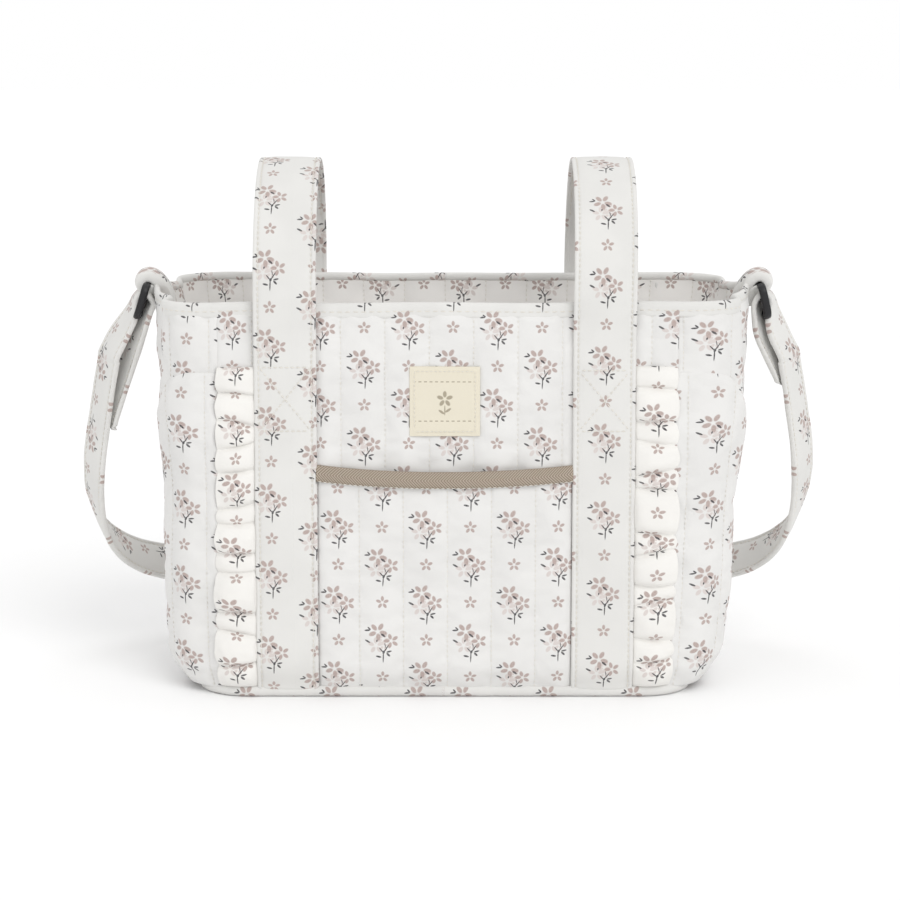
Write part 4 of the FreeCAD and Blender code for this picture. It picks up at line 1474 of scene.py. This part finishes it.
# The right half of the strap's middle line, down from the slider and round to the back.
STRAP_ROUTE = np.array(
    [
        (205, 0, 195), (212, 3, 160), (217, 9, 126), (217, 20, 99), (211, 36, 77), (198, 55, 61),
        (179, 73, 51), (157, 87, 46), (122, 94, 43), (80, 97, 42), (40, 98, 41),
    ]
) * MM
STRAP_MIDDLE = (0.0, 0.098, 0.041)
STRAP_HALF = 13.2 * MM
STRAP_WALL = 4.4 * MM
STRAP_SEAM = 2.6 * MM
STRAP_STEP = 3.2 * MM
STRAP_SLACK = 1.2 * MM  # the sides of the strap hang this much inside their route
TAIL_GAP = 5.0 * MM  # between the middles of the strap and of its doubled end
TAIL_TOUCH = 7 * MM  # this much of the doubled end lies flat against the strap
BAR_TURN = 4.4 * MM  # from the middle of the slider's middle bar to the middle of the strap round it
RIGHT_TAIL, LEFT_TAIL = 178 * MM, 150 * MM  # the heights at which the doubled ends stop


def strap_across(path):
    """Directions across the strap: level with the bag's depth at the slider, turning upright behind."""
    x, z = path[:, 0], path[:, 2]
    degrees = smooth(170 * MM, 52 * MM, z) * (50 + 40 * smooth(175 * MM, 110 * MM, np.abs(x)))
    turn = degrees * math.pi / 180
    swing = math.radians(31) * smooth(240 * MM, 205 * MM, z) * np.sign(x)
    return np.stack([np.sin(swing) * np.cos(turn), np.cos(swing) * np.cos(turn), np.sin(turn)], -1)


def strap_half(tail_end):
    """The right half from the middle of the back up to the slider, over its bar and down the tail, which
    lies against the inner side of the strap."""
    bar = BAR + DOWN * MIDDLE_BAR
    main = smooth_path([STRAP_MIDDLE] + list(STRAP_ROUTE[::-1]), STRAP_STEP)
    height = main[:, 2]
    main[:, 0] -= STRAP_SLACK * smooth(222 * MM, 150 * MM, height) * smooth(30 * MM, 75 * MM, height)
    _, _, outward = ribbon_frames(main, strap_across(main))
    beside = (main - outward * TAIL_GAP)[(height > tail_end) & (height < tail_end + TAIL_TOUCH)]
    over = [
        bar + OUTWARD * BAR_TURN + DOWN * 12 * MM,
        bar + OUTWARD * (BAR_TURN + 0.3 * MM),
        bar - DOWN * BAR_TURN,
        bar - OUTWARD * BAR_TURN,
        bar - OUTWARD * (BAR_TURN - 1.6 * MM) + DOWN * 13 * MM,
    ]
    return smooth_path(list(main) + over + list(beside[::-1]), STRAP_STEP)


def make_strap():
    right = strap_half(RIGHT_TAIL)
    left = strap_half(LEFT_TAIL) * np.array([-1, 1, 1])
    path = np.concatenate([left[:0:-1], right])
    path[:, 0] += hardware_shift(path[:, 2])
    wide = strap_across(path)
    section = padded_section(STRAP_HALF, STRAP_WALL, 0.2 * MM, STRAP_SEAM)
    made = ribbon("carrying_strap", path, wide, section, 0.3 * MM, (4 * MM, 9 * MM))
    place_piece(made, "strap", "band_print", ("shoulder_strap",), soften=1)
    rows = edge_stitches(path, wide, STRAP_HALF - STRAP_SEAM, STRAP_WALL, slice(None))
    sew("strap_stitches", "strap", "band_print", rows, 3.3 * MM, 2.5 * MM, 0.28 * MM)


make_strap()


# ---------------------------------------------------------------- thread, carried-over nodes
sew("quilting_stitches", "bag", "quilted_print", quilting_thread, 3.0 * MM, 1.9 * MM, 0.22 * MM)
sew("hem_stitches", "bag", "quilted_print", hem_thread, 4.6 * MM, 3.3 * MM, 0.3 * MM)
sew("label_stitches", "bag", "label_cloth", label_thread, 2.6 * MM, 1.8 * MM, 0.22 * MM)

CARRIED_OVER = {"snap_socket": "snap_metal", "snap_stud": "snap_metal", "base_board": "stiff_board"}
for node, material in CARRIED_OVER.items():
    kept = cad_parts[node]
    kept.data.materials.clear()
    kept.data.materials.append(MATERIALS[material])


# ---------------------------------------------------------------- floor, light and camera
def make_stage():
    floor = make_object("floor", [(-6, -6, 0), (6, -6, 0), (6, 6, 0), (-6, 6, 0)], [(0, 1, 2, 3)])
    material, tree, shader = new_material("floor_paper")
    paper = tree.mix(tree.grain(scale=3.0), (0.97, 0.97, 0.97, 1), (0.99, 0.99, 0.99, 1))
    tree.put(paper, shader.inputs["Base Color"])
    shader.inputs["Roughness"].default_value = 0.9
    shader.inputs["Specular IOR Level"].default_value = 0.1
    floor.data.materials.append(material)


def sun_light(name, place, spread, power):
    """Soft light from the direction of a place, the same everywhere on the stage."""
    light = bpy.data.lights.new(name, "SUN")
    light.energy = power
    light.angle = math.radians(spread)
    lamp = bpy.data.objects.new(name, light)
    lamp.location = place
    lamp.rotation_euler = (-Vector(place)).to_track_quat("-Z", "Y").to_euler()
    bpy.context.scene.collection.objects.link(lamp)


ROOM_LIGHT = 0.76


def make_light():
    """An even white room, which the camera sees as plain white, and three soft suns."""
    world = bpy.data.worlds.new("studio")
    world.use_nodes = True
    tree = Tree(world.node_tree)
    background = world.node_tree.nodes["Background"]
    background.inputs["Color"].default_value = (1.0, 1.0, 1.0, 1.0)
    background.inputs["Strength"].default_value = ROOM_LIGHT
    seen = tree.node("ShaderNodeBackground", (1.0, 1.0, 1.0, 1.0))
    path = tree.node("ShaderNodeLightPath")
    mixed = tree.node(
        "ShaderNodeMixShader", path.outputs["Is Camera Ray"], background.outputs[0], seen.outputs[0]
    )
    output = next(node for node in world.node_tree.nodes if node.type == "OUTPUT_WORLD")
    tree.put(mixed.outputs[0], output.inputs["Surface"])
    bpy.context.scene.world = world
    sun_light("key", (0.8, -1.6, 1.5), 35, 0.95)
    sun_light("fill", (-1.6, -0.9, 0.9), 60, 0.15)
    sun_light("top", (-0.1, 0.6, 1.9), 60, 0.35)


LENS = 122.2  # millimetres, on a sensor 36 mm wide
CAMERA_PLACE = (0.003, -1.825, 0.46)
CAMERA_TILT = 79.92  # degrees from straight down


def make_camera():
    camera = bpy.data.cameras.new("camera")
    camera.lens = LENS
    camera.sensor_width = 36.0
    holder = bpy.data.objects.new("camera", camera)
    holder.location = CAMERA_PLACE
    holder.rotation_euler = (math.radians(CAMERA_TILT), 0, 0)
    bpy.context.scene.collection.objects.link(holder)
    bpy.context.scene.camera = holder


make_stage()
make_light()
make_camera()
bpy.context.scene.view_settings.view_transform = "Standard"
